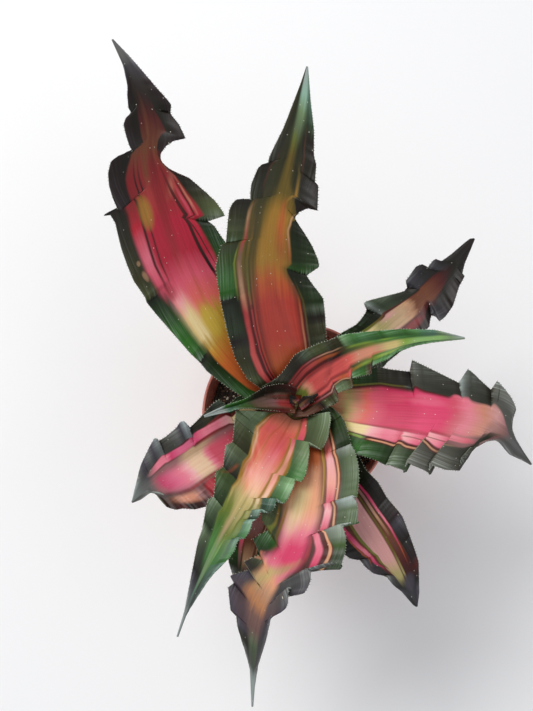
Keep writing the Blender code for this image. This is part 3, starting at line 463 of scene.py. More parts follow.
def rows_of_margin(leaf, side):
    """Where along the leaf each point of a margin lies. A row slants back to the base on its way out."""
    knots, points = midline(leaf)
    steps = np.linspace(0.0, 1.0, MARGIN_STEPS)
    line = curve(knots, points, steps)
    rows = []
    for point in leaf[side]:
        offset = line - np.array(point[:2])
        near = steps[np.argmin(np.hypot(*offset.T))]
        rows.append(near + leaf.get(side + "_slant", MARGIN_SLANT) * math.sin(math.pi * near))
    rows[0] = 0.0
    rows.append(1.0)
    for index in range(1, len(rows)):
        rows[index] = max(rows[index], rows[index - 1] + ROW_NEAREST)
    rows[-1] = 1.0
    for index in range(len(rows) - 2, 0, -1):
        rows[index] = min(rows[index], rows[index + 1] - ROW_NEAREST)
    return rows


def margin(leaf, side):
    """Plan position and height of one margin at even steps, with no row crossing the next."""
    knots, points = midline(leaf)
    rows = rows_of_margin(leaf, side)
    sign = 1.0 if side == "left" else -1.0
    last = points[-1] - points[-2]
    tip = points[-1] + sign * np.array([-last[1], last[0]]) / np.hypot(*last) * TIP_HALF_WIDTH
    plan = np.array([point[:2] for point in leaf[side]] + [tip], float)
    steps = np.linspace(0.0, 1.0, MARGIN_STEPS)
    centre = curve(knots, points, steps)
    ahead = np.gradient(centre, axis=0)
    advance = np.hypot(ahead[:, 0], ahead[:, 1])
    ahead /= advance[:, None]
    aside = sign * np.stack([-ahead[:, 1], ahead[:, 0]], axis=1)
    reach = pointed(rows, plan, steps) - centre
    width = np.maximum((reach * aside).sum(axis=1), TIP_HALF_WIDTH)
    slant = (reach * ahead).sum(axis=1) / width
    most_drop = ROW_CROWDING * advance / width
    onward = slant.copy()
    for index in range(1, MARGIN_STEPS):
        onward[index] = max(slant[index], onward[index - 1] - most_drop[index])
    backward = slant.copy()
    for index in range(MARGIN_STEPS - 2, -1, -1):
        backward[index] = min(slant[index], backward[index + 1] + most_drop[index])
    slant = (onward + backward) / 2
    outline = centre + (aside + ahead * slant[:, None]) * width[:, None]
    heights = [(0.0, 0.0)]
    for row, point in zip(rows, leaf[side]):
        if len(point) > 2:
            heights.append((row, point[2]))
    heights = np.array(heights + [(1.0, 0.0)])
    return steps, outline, pointed(heights[:, 0], heights[:, 1:], steps)[:, 0]


def blade(leaf, layer, s, t):
    """Points of the blade's middle surface: s from base to tip, t from left margin -1 to right 1."""
    knots, points = midline(leaf)
    centre = curve(knots, points, s)
    plan = centre.copy()
    height = np.zeros_like(s)
    half = np.zeros_like(s)
    for sign, side in ((-1, "left"), (1, "right")):
        steps, outline, crests = margin(leaf, side)
        edge = np.stack([np.interp(s, steps, outline[:, axis]) for axis in (0, 1)], axis=-1)
        reach = edge - centre
        here = t * sign > 0
        plan = np.where(here[..., None], centre + reach * np.abs(t)[..., None], plan)
        wave = np.interp(s, steps, crests) * smooth_step(np.abs(t), FLAT_PART, 1.0)
        height = np.where(here, wave, height)
        half = np.where(here, np.hypot(reach[..., 0], reach[..., 1]), half)
    rise = np.array(FUNNEL + leaf["rise"], float)
    radius = np.hypot(plan[..., 0], plan[..., 1])
    if layer < LAYERS_ROUND_STEM:
        wrapped = (radius**3 + CLASP_RADIUS**3) ** (1 / 3)
        plan = plan * (wrapped / np.maximum(radius, 0.1))[..., None]
        radius = wrapped
    last_slope = (rise[-1, 1] - rise[-2, 1]) / (rise[-1, 0] - rise[-2, 0])
    beyond = np.maximum(radius - rise[-1, 0], 0.0) * last_slope
    height = height + curve(rise[:, 0], rise[:, 1], radius) + beyond + layer * LAYER_STEP
    channel = np.array(leaf.get("channel", CHANNEL), float)
    height = height + curve(channel[:, 0], channel[:, 1], s) * t * t * half
    return np.concatenate([plan, height[..., None]], axis=-1)


def normals_of(points):
    ahead = np.gradient(points, axis=0)
    across = np.gradient(points, axis=1)
    normal = np.cross(across, ahead)
    normal /= np.linalg.norm(normal, axis=-1, keepdims=True) + 1e-9
    return normal * np.where(normal[..., 2:] < 0, -1.0, 1.0)


def widened(values, mix):
    """One pass over the grid, taking the largest of the neighbours or their mean."""
    wide = np.pad(values, 1, mode="edge")
    near = [wide[1:-1, 1:-1], wide[:-2, 1:-1], wide[2:, 1:-1], wide[1:-1, :-2], wide[1:-1, 2:]]
    return mix(near, axis=0)


class Below:
    """The height of everything laid down so far, over a plan grid."""

    def __init__(self):
        self.count = int(2 * FIELD_HALF / CELL)
        self.height = np.full((self.count, self.count), -1e3)

    def cells(self, points):
        index = ((points[..., :2] + FIELD_HALF) / CELL).astype(int)
        return np.clip(index, 0, self.count - 1)

    def add(self, points):
        tops = points + normals_of(points) * (LEAF_THICKNESS + LEAF_GAP) / 2
        cells = self.cells(tops)
        np.maximum.at(self.height, (cells[..., 0], cells[..., 1]), tops[..., 2])

    def lifted(self, points):
        """The points raised, smoothly, to where nothing laid down before is crossed."""
        under = points - normals_of(points) * (LEAF_THICKNESS + LEAF_GAP) / 2
        wide = widened(self.height, np.max)
        cells = self.cells(under)
        lift = np.maximum(wide[cells[..., 0], cells[..., 1]] - under[..., 2], 0.0)
        for _ in range(SETTLE_PASSES):
            lift = widened(lift, np.max)
        for _ in range(SETTLE_PASSES):
            lift = widened(lift, np.mean)
        return points + lift[..., None] * np.array([0.0, 0.0, 1.0])


def settled_leaves():
    """Each leaf's lifts on the coarse grid, as in the part's source."""
    s = np.repeat(np.linspace(0.0, 1.0, FINE_ROWS)[:, None], FINE_COLUMNS, axis=1)
    t = np.repeat(np.linspace(-1.0, 1.0, FINE_COLUMNS)[None, :], FINE_ROWS, axis=0)
    below = Below()
    lifts = {}
    for layer, (name, leaf) in enumerate(LEAVES.items()):
        start = blade(leaf, layer, s, t)
        points = below.lifted(start)
        lifts[name] = points[..., 2] - start[..., 2]
        for part in PARTS_OF_A_ROW:
            below.add(points[:-1] * (1 - part) + points[1:] * part)
    return lifts


def stretched(grid, s, t):
    """Values of a coarse grid at rows s and columns t."""
    row = np.clip(s * (FINE_ROWS - 1), 0, FINE_ROWS - JUST_INSIDE)
    column = np.clip((t + 1) / 2 * (FINE_COLUMNS - 1), 0, FINE_COLUMNS - JUST_INSIDE)
    i = row.astype(int)
    j = column.astype(int)
    u = row - i
    v = column - j
    first = grid[i, j] * (1 - v) + grid[i, j + 1] * v
    second = grid[i + 1, j] * (1 - v) + grid[i + 1, j + 1] * v
    return first * (1 - u) + second * u


def mesh_object(name, points, faces, materials):
    """A smooth-shaded object from points in millimetres."""
    mesh = bpy.data.meshes.new(name)
    mesh.from_pydata((np.asarray(points) * MM).tolist(), [], faces)
    for material in materials:
        mesh.materials.append(material)
    mesh.shade_smooth()
    made = bpy.data.objects.new(name, mesh)
    scene.collection.objects.link(made)
    return made


def set_uv(made, name, uv):
    """A map with one value for each vertex."""
    layer = made.data.uv_layers.new(name=name)
    corners = np.empty(len(made.data.loops), int)
    made.data.loops.foreach_get("vertex_index", corners)
    layer.data.foreach_set("uv", np.asarray(uv, np.float32)[corners].ravel())


def ripples(random, s, t):
    """Small uneven waves that grow towards both margins."""
    total = np.zeros_like(s)
    for side in (-1, 1):
        near = smooth_step(t * side, RIPPLE_FROM, 1.0)
        wave = np.zeros_like(s)
        for cycles in RIPPLE_CYCLES:
            pace = cycles * random.uniform(*RIPPLE_SPREAD)
            wave += np.sin(2 * math.pi * (s * pace + random.uniform()))
        total += near * wave / 2.0
    return total * smooth_step(s, 0.0, RIPPLE_END_FADE) * smooth_step(s, 1.0, 1.0 - RIPPLE_END_FADE)


def rows_of_blade(leaf, rows):
    """Even rows from base to tip, and one more at each point of a margin."""
    corners = np.array(rows_of_margin(leaf, "left") + rows_of_margin(leaf, "right"))
    corners = np.round(corners * (MARGIN_STEPS - 1)) / (MARGIN_STEPS - 1)
    line = np.unique(np.concatenate([np.linspace(0.0, 1.0, rows), corners]))
    return line[np.concatenate([[True], np.diff(line) > ROWS_APART])]


def columns_of_blade(columns):
    """Columns from margin to margin, closer together near the margins."""
    bend = np.linspace(-1.0, 1.0, columns) * math.pi / 2 * COLUMN_BUNCHING
    return np.sin(bend) / math.sin(math.pi / 2 * COLUMN_BUNCHING)


def faces_of_blade(rows, columns):
    """Faces of the upper side, of the lower side and of the rim that joins them."""
    count = rows * columns
    index = np.arange(count).reshape(rows, columns)
    a = index[:-1, :-1].ravel()
    b = index[:-1, 1:].ravel()
    c = index[1:, 1:].ravel()
    d = index[1:, :-1].ravel()
    upper = np.stack([a, b, c, d], 1).tolist()
    lower = (np.stack([d, c, b, a], 1) + count).tolist()
    rim = np.concatenate([index[0, :], index[1:, -1], index[-1, -2::-1], index[-2:0:-1, 0]])
    after = np.roll(rim, -1)
    edge = np.stack([after, rim, rim + count, after + count], 1).tolist()
    return upper, lower, edge


def spines(random, line, inner, normals):
    """The spines of one margin: for each, the row it stands on and its five corners, the tip last."""
    steps = np.linalg.norm(np.diff(line, axis=0), axis=1)
    along = np.concatenate([[0.0], np.cumsum(steps)])
    at = SPINE_FIRST
    while at < along[-1] - SPINE_LAST:
        row = int(np.searchsorted(along, at)) - 1
        ahead = line[row + 1] - line[row]
        size = np.linalg.norm(ahead)
        at += SPINE_STEP * random.uniform(*SPINE_STEP_SPREAD)
        if size < SHORTEST_STEP:
            continue
        ahead = ahead / size
        out = line[row] - inner[row]
        out = out / (np.linalg.norm(out) + 1e-9)
        up = normals[row]
        room = min(1.0, (along[-1] - at + SPINE_FIRST) / SPINE_FADE)
        length = SPINE_LENGTH * random.uniform(*SPINE_LENGTH_SPREAD) * room
        root = line[row] - out * SPINE_SUNK
        tip = root + out * (length + SPINE_SUNK) + ahead * length * SPINE_LEAN + up * SPINE_LIFT * length
        aside = ahead * SPINE_HALF_WIDTH
        raised = up * SPINE_HALF_THICKNESS
        yield row, [root - aside, root + aside, root + raised, root - raised, tip]


def add_leaf(name, leaf, layer, lift, rows, columns, materials, slot):
    """A finely waved blade, thin at its margins, with a row of small spines along each."""
    random = np.random.default_rng(LEAF_SEED + layer)
    s_line = rows_of_blade(leaf, rows)
    t_line = columns_of_blade(columns)
    rows = len(s_line)
    s = np.repeat(s_line[:, None], columns, axis=1)
    t = np.repeat(t_line[None, :], rows, axis=0)
    points = blade(leaf, layer, s, t)
    points[..., 2] += stretched(lift, s, t)
    points[..., 2] += ripples(random, s, t) * RIPPLE
    normal = normals_of(points)
    half = (LEAF_THICKNESS * (1 - MARGIN_THINNING * np.abs(t) ** 3) / 2)[..., None]
    top = points + normal * half
    under = points - normal * half
    verts = np.concatenate([top.reshape(-1, 3), under.reshape(-1, 3)]).tolist()
    upper, lower, edge = faces_of_blade(rows, columns)
    faces = upper + lower + edge
    kinds = [0] * len(upper) + [1] * len(lower) + [0] * len(edge)
    uv = np.stack([(t + 1) / 2, s], -1).reshape(-1, 2)
    uv = np.concatenate([uv, uv]).tolist()
    middle = points[:, columns // 2]
    run = np.concatenate([[0.0], np.cumsum(np.linalg.norm(np.diff(middle, axis=0), axis=1))])
    aside = np.linalg.norm(points - middle[:, None], axis=2) * np.sign(t)
    spread = np.stack([aside, np.repeat(run[:, None], columns, axis=1)], -1).reshape(-1, 2)
    spread = np.concatenate([spread, spread]).tolist()
    for column, beside, outward in ((0, 1, -1), (columns - 1, columns - 2, 1)):
        for row, corners in spines(random, points[:, column], points[:, beside], normal[:, column]):
            base = len(verts)
            verts += [corner.tolist() for corner in corners]
            uv += [[0.5 + outward * 0.5, s_line[row]]] * 4
            uv += [[0.5 + outward * SPINE_TIP_MAP, s_line[row]]]
            spread += [[aside[row, column], run[row]]] * 5
            faces += [(base + first, base + second, base + 4) for first, second in SPINE_SIDES]
            kinds += [0] * len(SPINE_SIDES)
    made = mesh_object("skin_" + name, verts, faces, materials)
    made.data.polygons.foreach_set("material_index", kinds)
    set_uv(made, "leaf", uv)
    set_uv(made, "size", spread)
    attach(made, "root")
    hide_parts(name)


def paint(red, green, blue):
    """A colour given as it looks on screen, 0 to 255, as a light value."""
    parts = []
    for value in (red, green, blue):
        value = value / 255.0
        parts.append(value / 12.92 if value <= 0.04045 else ((value + 0.055) / 1.055) ** 2.4)
    return (*parts, 1.0)


HOT_PINK = paint(214, 66, 104)
ROSE = paint(206, 82, 102)
PINK = paint(226, 122, 140)
PALE_PINK = paint(236, 170, 172)
DUSTY_PINK = paint(200, 146, 142)
CORAL = paint(214, 98, 88)
SALMON = paint(216, 124, 100)
PEACH = paint(226, 158, 120)
TAN = paint(188, 144, 110)
CREAM = paint(228, 204, 148)
PALE_YELLOW = paint(208, 200, 118)
GOLD = paint(184, 146, 52)
ORANGE = paint(196, 102, 46)
RUST = paint(172, 82, 44)
BRICK = paint(186, 70, 46)
RED = paint(204, 78, 66)
CRIMSON = paint(178, 34, 50)
DEEP_RED = paint(126, 32, 36)
MAGENTA = paint(190, 56, 98)
MAROON = paint(76, 26, 24)
BROWN = paint(102, 58, 38)
OLIVE = paint(96, 80, 32)
OLIVE_GOLD = paint(152, 112, 44)
OLIVE_GREEN = paint(106, 116, 46)
OLIVE_DRAB = paint(72, 80, 46)
KHAKI = paint(160, 150, 96)
LIME = paint(122, 152, 58)
LIGHT_GREEN = paint(126, 164, 96)
LEAF_GREEN = paint(52, 98, 40)
GREEN = paint(72, 124, 62)
MOSS = paint(70, 92, 48)
SAGE = paint(112, 136, 96)
SILVER_GREEN = paint(146, 160, 134)
STONE_GREEN = paint(96, 112, 82)
TEAL_GREEN = paint(86, 122, 102)
DARK_GREEN = paint(30, 46, 18)
BLACK_GREEN = paint(20, 24, 11)
GREY_GREEN = paint(66, 78, 58)
SILVER = paint(150, 160, 156)
PALE_SILVER = paint(158, 166, 158)
STONE = paint(98, 98, 96)
SLATE = paint(68, 64, 72)
MAUVE = paint(144, 100, 100)
CHARCOAL = paint(36, 33, 33)
BLACK_BROWN = paint(25, 17, 13)
PALE_TEAL = paint(136, 172, 152)
BEIGE = paint(182, 150, 118)
BRIGHT_GREEN = paint(84, 134, 82)
EMERALD = paint(46, 98, 30)
SOOT = paint(40, 28, 30)
ASH = paint(106, 106, 96)
FLINT = paint(70, 72, 62)
ECRU = paint(232, 196, 162)
HONEY = paint(188, 128, 78)
UMBER = paint(46, 42, 34)
PLUM = paint(72, 66, 76)
BLUSH = paint(198, 82, 78)
WINE = paint(136, 42, 42)
DARK_OLIVE = paint(50, 50, 28)
EMBER = paint(166, 58, 46)
CLAY = paint(206, 138, 112)
STRAW = paint(192, 172, 112)
MUSTARD = paint(198, 168, 62)
FROST = paint(184, 198, 200)
FERN = paint(128, 168, 116)
BLOSSOM = paint(232, 158, 142)
ORCHID = paint(210, 98, 128)
CERISE = paint(198, 48, 86)
CARMINE = paint(166, 32, 52)
ROUGE = paint(164, 58, 58)
TAUPE = paint(112, 86, 74)
SPINE = paint(176, 180, 160)
SPECK = paint(226, 218, 200)
UNDERSIDE = paint(150, 154, 132)
# The pale silver of the scurf, with painted sheen.
SCURF_AND_SHEEN_COLOUR = paint(204, 216, 208)
TERRACOTTA_DARK = paint(182, 100, 88)
TERRACOTTA = paint(190, 110, 97)
TERRACOTTA_LIGHT = paint(198, 124, 111)
POT_DUST = paint(222, 176, 166)
POT_DIRT = paint(110, 66, 54)
PEAT_DARK = paint(18, 14, 12)
PEAT = paint(40, 31, 25)
PEAT_LIGHT = paint(74, 56, 42)
PEAT_BITS = paint(92, 66, 46)
BARK_DARK = paint(70, 60, 34)
BARK = paint(112, 104, 56)
BARK_LIGHT = paint(150, 138, 92)
FLOOR_GREY = paint(243, 243, 243)
FLOOR_WHITE = paint(248, 248, 248)

# From dark peat to bark and pale grains.
CRUMB_COLOURS = [
    (0.0, paint(20, 15, 12)),
    (0.5, paint(48, 35, 27)),
    (0.78, paint(96, 68, 46)),
    (0.9, paint(128, 98, 68)),
    (0.95, paint(190, 180, 164)),
    (1.0, paint(214, 208, 196)),
]


def place_across(t):
    """The place of t across the blade, 0 to 1, in a span that leaves room beyond both margins."""
    return (t + ACROSS_SPAN / 2) / ACROSS_SPAN


class Net:
    """Small helper that lays out the nodes of one material."""

    def __init__(self, name):
        self.material = bpy.data.materials.new(name)
        self.material.use_nodes = True
        self.tree = self.material.node_tree
        self.shader = self.tree.nodes["Principled BSDF"]

    def node(self, kind, **settings):
        made = self.tree.nodes.new(kind)
        for key, value in settings.items():
            setattr(made, key, value)
        return made

    def put(self, socket, value):
        if isinstance(value, bpy.types.NodeSocket):
            self.tree.links.new(value, socket)
        else:
            socket.default_value = value

    def math(self, operation, *values):
        made = self.node("ShaderNodeMath", operation=operation)
        for socket, value in zip(made.inputs, values):
            self.put(socket, value)
        return made.outputs[0]

    def add(self, first, second):
        return self.math("ADD", first, second)

    def less(self, first, second):
        return self.math("SUBTRACT", first, second)

    def times(self, first, second):
        return self.math("MULTIPLY", first, second)

    def swing(self, value, size):
        """A value between 0 and 1 as a swing of this size, half of it each way."""
        return self.math("MULTIPLY_ADD", value, size, -size / 2)

    def step(self, value, low, high):
        made = self.node("ShaderNodeMapRange", interpolation_type="SMOOTHSTEP")
        self.put(made.inputs["Value"], value)
        self.put(made.inputs["From Min"], low)
        self.put(made.inputs["From Max"], high)
        return made.outputs["Result"]

    def mix(self, factor, first, second, blend="MIX"):
        made = self.node("ShaderNodeMix", data_type="RGBA", blend_type=blend)
        self.put(made.inputs[0], factor)
        self.put(made.inputs[6], first)
        self.put(made.inputs[7], second)
        return made.outputs[2]

    def ramp(self, value, knots):
        """Colour and strength along a value, from (place, colour) or (place, colour, strength) knots."""
        made = self.node("ShaderNodeValToRGB")
        self.put(made.inputs[0], value)
        ramp = made.color_ramp
        ramp.interpolation = "LINEAR"
        while len(ramp.elements) < len(knots):
            ramp.elements.new(1.0)
        for element, knot in zip(ramp.elements, knots):
            element.position = knot[0]
        for element, knot in zip(ramp.elements, knots):
            strength = knot[2] if len(knot) > 2 else 1.0
            element.color = (*knot[1][:3], strength)
        return made.outputs[0], made.outputs[1]

    def line(self, value, knots):
        """A smooth curve of t against s from knots, as a place across the blade."""
        made = self.node("ShaderNodeFloatCurve")
        self.put(made.inputs["Value"], value)
        mapping = made.mapping
        curve_line = mapping.curves[0]
        while len(curve_line.points) < len(knots):
            curve_line.points.new(0.5, 0.5)
        for point, (s, t) in zip(curve_line.points, knots):
            point.location = (s, place_across(t))
        for point in curve_line.points:
            point.handle_type = "AUTO_CLAMPED"
        mapping.update()
        return made.outputs[0]

    def noise(self, vector, scale, detail=2.0, roughness=0.5):
        made = self.node("ShaderNodeTexNoise")
        self.put(made.inputs["Vector"], vector)
        self.put(made.inputs["Scale"], scale)
        self.put(made.inputs["Detail"], detail)
        self.put(made.inputs["Roughness"], roughness)
        return made.outputs[0]

    def scaled(self, vector, x, y, z=1.0):
        made = self.node("ShaderNodeMapping")
        self.put(made.inputs["Vector"], vector)
        made.inputs["Scale"].default_value = (x, y, z)
        return made.outputs[0]

    def object_place(self):
        """The point on the object in millimetres."""
        made = self.node("ShaderNodeTexCoord")
        return self.scaled(made.outputs["Object"], 1000.0, 1000.0, 1000.0)

    def bump(self, strength, distance, height):
        made = self.node("ShaderNodeBump")
        self.put(made.inputs["Strength"], strength)
        self.put(made.inputs["Distance"], distance)
        self.put(made.inputs["Height"], height)
        self.put(self.shader.inputs["Normal"], made.outputs[0])

    def finish(self, colour, roughness):
        self.put(self.shader.inputs["Base Color"], colour)
        self.put(self.shader.inputs["Roughness"], roughness)
        return self.material


# The two margins of each blade as flaps from base to tip: the s where one starts, its colour there, lit by a
# painted highlight, and the darker one at its end, in painted shade. A fourth value lets it start softly,
# over that length.
FLAPS = {
    "leaf_back_left": (
        [(0.0, OLIVE_DRAB, BLACK_GREEN), (0.1, EMERALD, BLACK_GREEN, 0.03), (0.257, LEAF_GREEN, EMERALD),
            (0.33, EMERALD, BLACK_GREEN, 0.03), (0.43, OLIVE_DRAB, DARK_OLIVE),
            (0.5, DARK_OLIVE, BLACK_BROWN, 0.03), (0.652, SOOT, BLACK_BROWN), (0.756, SOOT, BLACK_BROWN),
            (0.842, BLACK_BROWN, SOOT), (0.93, SLATE, STONE, 0.03)],
        [(0.0, MOSS, DARK_GREEN), (0.2, EMERALD, BLACK_GREEN, 0.03), (0.43, EMERALD, BLACK_GREEN, 0.03),
            (0.561, STONE_GREEN, OLIVE_DRAB), (0.61, DARK_OLIVE, BLACK_BROWN, 0.03),
            (0.7, MAROON, MAROON, 0.03), (0.742, SOOT, BLACK_BROWN), (0.818, BLACK_BROWN, SOOT),
            (0.93, SLATE, STONE, 0.05)],
    ),
    "leaf_back": (
        [(0.0, OLIVE_DRAB, DARK_OLIVE), (0.12, OLIVE_DRAB, DARK_OLIVE, 0.03),
            (0.2, DARK_OLIVE, BLACK_BROWN, 0.03), (0.26, DARK_GREEN, BLACK_GREEN, 0.03),
            (0.356, LEAF_GREEN, EMERALD), (0.4, EMERALD, DARK_OLIVE, 0.03), (0.506, MOSS, OLIVE_DRAB),
            (0.56, DARK_OLIVE, BLACK_BROWN, 0.03), (0.628, DARK_OLIVE, BLACK_BROWN),
            (0.736, UMBER, DARK_OLIVE)],
        [(0.0, MOSS, DARK_GREEN), (0.16, GREY_GREEN, DARK_OLIVE, 0.03),
            (0.23, DARK_OLIVE, BLACK_BROWN, 0.03), (0.29, GREY_GREEN, DARK_GREEN, 0.03),
            (0.34, DARK_GREEN, BLACK_GREEN, 0.03), (0.421, LEAF_GREEN, DARK_GREEN),
            (0.47, DARK_GREEN, BLACK_GREEN, 0.03), (0.609, BLACK_BROWN, BLACK_BROWN),
            (0.72, UMBER, BLACK_BROWN), (0.84, DARK_GREEN, TEAL_GREEN, 0.03)],
    ),
    "leaf_right": (
        [(0.0, MOSS, DARK_GREEN), (0.2, EMERALD, DARK_GREEN, 0.03), (0.325, DARK_OLIVE, UMBER),
            (0.43, UMBER, BLACK_BROWN, 0.02), (0.473, ASH, FLINT), (0.52, FLINT, UMBER, 0.01),
            (0.668, SILVER, FLINT), (0.7, FLINT, UMBER, 0.01), (0.772, ASH, STONE),
            (0.92, STONE, STONE, 0.03)],
        [(0.0, MOSS, DARK_GREEN), (0.2, EMERALD, EMERALD, 0.03), (0.326, EMERALD, DARK_GREEN),
            (0.453, STONE_GREEN, DARK_GREEN), (0.569, ASH, UMBER), (0.656, ASH, UMBER), (0.77, FLINT, UMBER),
            (0.84, MAUVE, STONE, 0.03), (0.92, STONE, STONE, 0.03)],
    ),
    "leaf_front": (
        [(0.0, MOSS, DARK_GREEN), (0.168, PALE_SILVER, STONE_GREEN), (0.24, STONE_GREEN, MOSS, 0.04),
            (0.337, FROST, STONE_GREEN), (0.39, STONE_GREEN, MOSS, 0.02), (0.444, PALE_SILVER, MOSS),
            (0.5, GREY_GREEN, DARK_GREEN, 0.02), (0.603, STONE, PLUM), (0.691, STONE, PLUM),
            (0.765, SLATE, STONE, 0.02)],
        [(0.0, SAGE, OLIVE_DRAB), (0.3, MOSS, OLIVE_DRAB, 0.03), (0.536, EMERALD, DARK_GREEN),
            (0.627, OLIVE_DRAB, UMBER), (0.675, PLUM, PLUM, 0.02), (0.725, SLATE, PLUM),
            (0.8, PLUM, UMBER, 0.03), (0.88, STONE, SILVER, 0.05)],
    ),
    "leaf_front_left": (
        [(0.0, SAGE, OLIVE_DRAB), (0.103, SILVER_GREEN, SAGE), (0.16, SAGE, GREEN, 0.05),
            (0.284, SILVER_GREEN, FERN), (0.33, FERN, LEAF_GREEN, 0.05), (0.411, TEAL_GREEN, DARK_GREEN),
            (0.47, PALE_TEAL, DARK_GREEN), (0.516, PALE_TEAL, GREEN), (0.603, TEAL_GREEN, GREEN),
            (0.71, TEAL_GREEN, SLATE)],
        [(0.0, BROWN, OLIVE_DRAB), (0.08, SAGE, STONE_GREEN, 0.03), (0.2, OLIVE_DRAB, DARK_OLIVE, 0.04),
            (0.273, SILVER, STONE_GREEN), (0.31, STONE_GREEN, BLACK_BROWN, 0.04), (0.389, SAGE, MOSS),
            (0.44, MOSS, DARK_GREEN, 0.05), (0.516, SAGE, DARK_GREEN), (0.64, STONE_GREEN, CHARCOAL, 0.03),
            (0.8, SLATE, SILVER, 0.03)],
    ),
    "leaf_left": (
        [(0.0, MOSS, DARK_GREEN), (0.5, CRIMSON, DEEP_RED), (0.68, MAROON, BLACK_BROWN),
            (0.8, MAROON, BLACK_BROWN), (0.898, PALE_SILVER, STONE), (0.95, STONE, STONE)],
        [(0.0, MOSS, DARK_GREEN), (0.332, GREY_GREEN, BLACK_GREEN), (0.46, DARK_OLIVE, BLACK_BROWN, 0.03),
            (0.581, FROST, SLATE), (0.64, STONE, UMBER, 0.03), (0.741, SILVER, PLUM),
            (0.82, STONE, PLUM, 0.03), (0.9, STONE, SILVER, 0.03)],
    ),
    "leaf_young_right": (
        [(0.0, DARK_OLIVE, UMBER), (0.14, GREY_GREEN, OLIVE_DRAB, 0.06),
            (0.29, DARK_OLIVE, DARK_OLIVE, 0.05), (0.365, FERN, GREEN, 0.02),
            (0.47, BRIGHT_GREEN, LEAF_GREEN, 0.05), (0.6, GREEN, LEAF_GREEN, 0.03),
            (0.75, GREEN, TEAL_GREEN, 0.05), (0.88, SAGE, SILVER, 0.04)],
        [(0.0, BROWN, BLACK_BROWN), (0.09, OLIVE_DRAB, DARK_OLIVE, 0.04), (0.16, OLIVE_DRAB, MAROON, 0.02),
            (0.205, SAGE, STONE_GREEN), (0.3, OLIVE_DRAB, MAROON, 0.03), (0.345, BRIGHT_GREEN, LEAF_GREEN),
            (0.44, OLIVE_DRAB, MAROON, 0.02), (0.484, GREEN, GREEN), (0.6, GREEN, LEAF_GREEN, 0.04),
            (0.8, GREEN, SAGE, 0.05)],
    ),
    "leaf_young_left": (
        [(0.0, BROWN, MAROON), (0.2, MAROON, DARK_OLIVE, 0.05), (0.46, DARK_OLIVE, MOSS, 0.05),
            (0.62, MOSS, TEAL_GREEN, 0.05), (0.8, SILVER, SILVER, 0.05)],
        [(0.0, MAROON, BLACK_BROWN), (0.3, BLACK_BROWN, BLACK_GREEN, 0.05), (0.5, DARK_GREEN, EMERALD, 0.05),
            (0.68, EMERALD, EMERALD, 0.05), (0.82, SILVER, SILVER, 0.04)],
    ),
    "leaf_right_front": (
        [(0.0, MOSS, DARK_GREEN), (0.3, DARK_GREEN, BLACK_GREEN, 0.03), (0.47, CHARCOAL, BLACK_BROWN, 0.03),
            (0.578, CHARCOAL, SOOT), (0.68, SLATE, BLACK_BROWN, 0.03), (0.761, CHARCOAL, SOOT),
            (0.86, MAROON, CHARCOAL, 0.03), (0.94, SLATE, SLATE, 0.03)],
        [(0.0, MOSS, DARK_GREEN), (0.4, DARK_GREEN, BLACK_GREEN, 0.03), (0.6, CHARCOAL, BLACK_BROWN, 0.03),
            (0.739, SLATE, SOOT), (0.843, STONE, CHARCOAL), (0.93, SLATE, CHARCOAL, 0.03)],
    ),
    "leaf_right_back": (
        [(0.0, MOSS, DARK_GREEN), (0.3, LEAF_GREEN, BLACK_GREEN, 0.03), (0.434, DARK_GREEN, BLACK_GREEN),
            (0.513, SILVER, GREY_GREEN), (0.57, GREY_GREEN, BLACK_BROWN, 0.03), (0.692, SLATE, BLACK_BROWN),
            (0.814, SLATE, BLACK_BROWN), (0.87, CHARCOAL, SOOT)],
        [(0.0, MOSS, DARK_GREEN), (0.43, DARK_GREEN, BLACK_BROWN), (0.58, SOOT, BLACK_BROWN, 0.03),
            (0.692, SLATE, BLACK_BROWN), (0.79, SOOT, BLACK_BROWN, 0.03), (0.876, CHARCOAL, SOOT)],
    ),
    "leaf_low_front": (
        [(0.0, MOSS, DARK_GREEN), (0.45, LEAF_GREEN, BLACK_GREEN, 0.03), (0.591, LEAF_GREEN, BLACK_GREEN),
            (0.741, EMERALD, DARK_GREEN), (0.9, MAUVE, SLATE, 0.03)],
        [(0.0, MOSS, DARK_GREEN), (0.6, BROWN, BROWN, 0.03), (0.72, EMERALD, BLACK_GREEN),
            (0.82, EMERALD, DARK_GREEN, 0.03), (0.92, STONE, SLATE, 0.03)],
    ),
}
HEART_FLAPS = (
    [(0.0, MAROON, BLACK_BROWN), (0.5, SOOT, BLACK_BROWN, 0.03)],
    [(0.0, DEEP_RED, MAROON), (0.5, BLACK_BROWN, BLACK_BROWN, 0.03)],
)

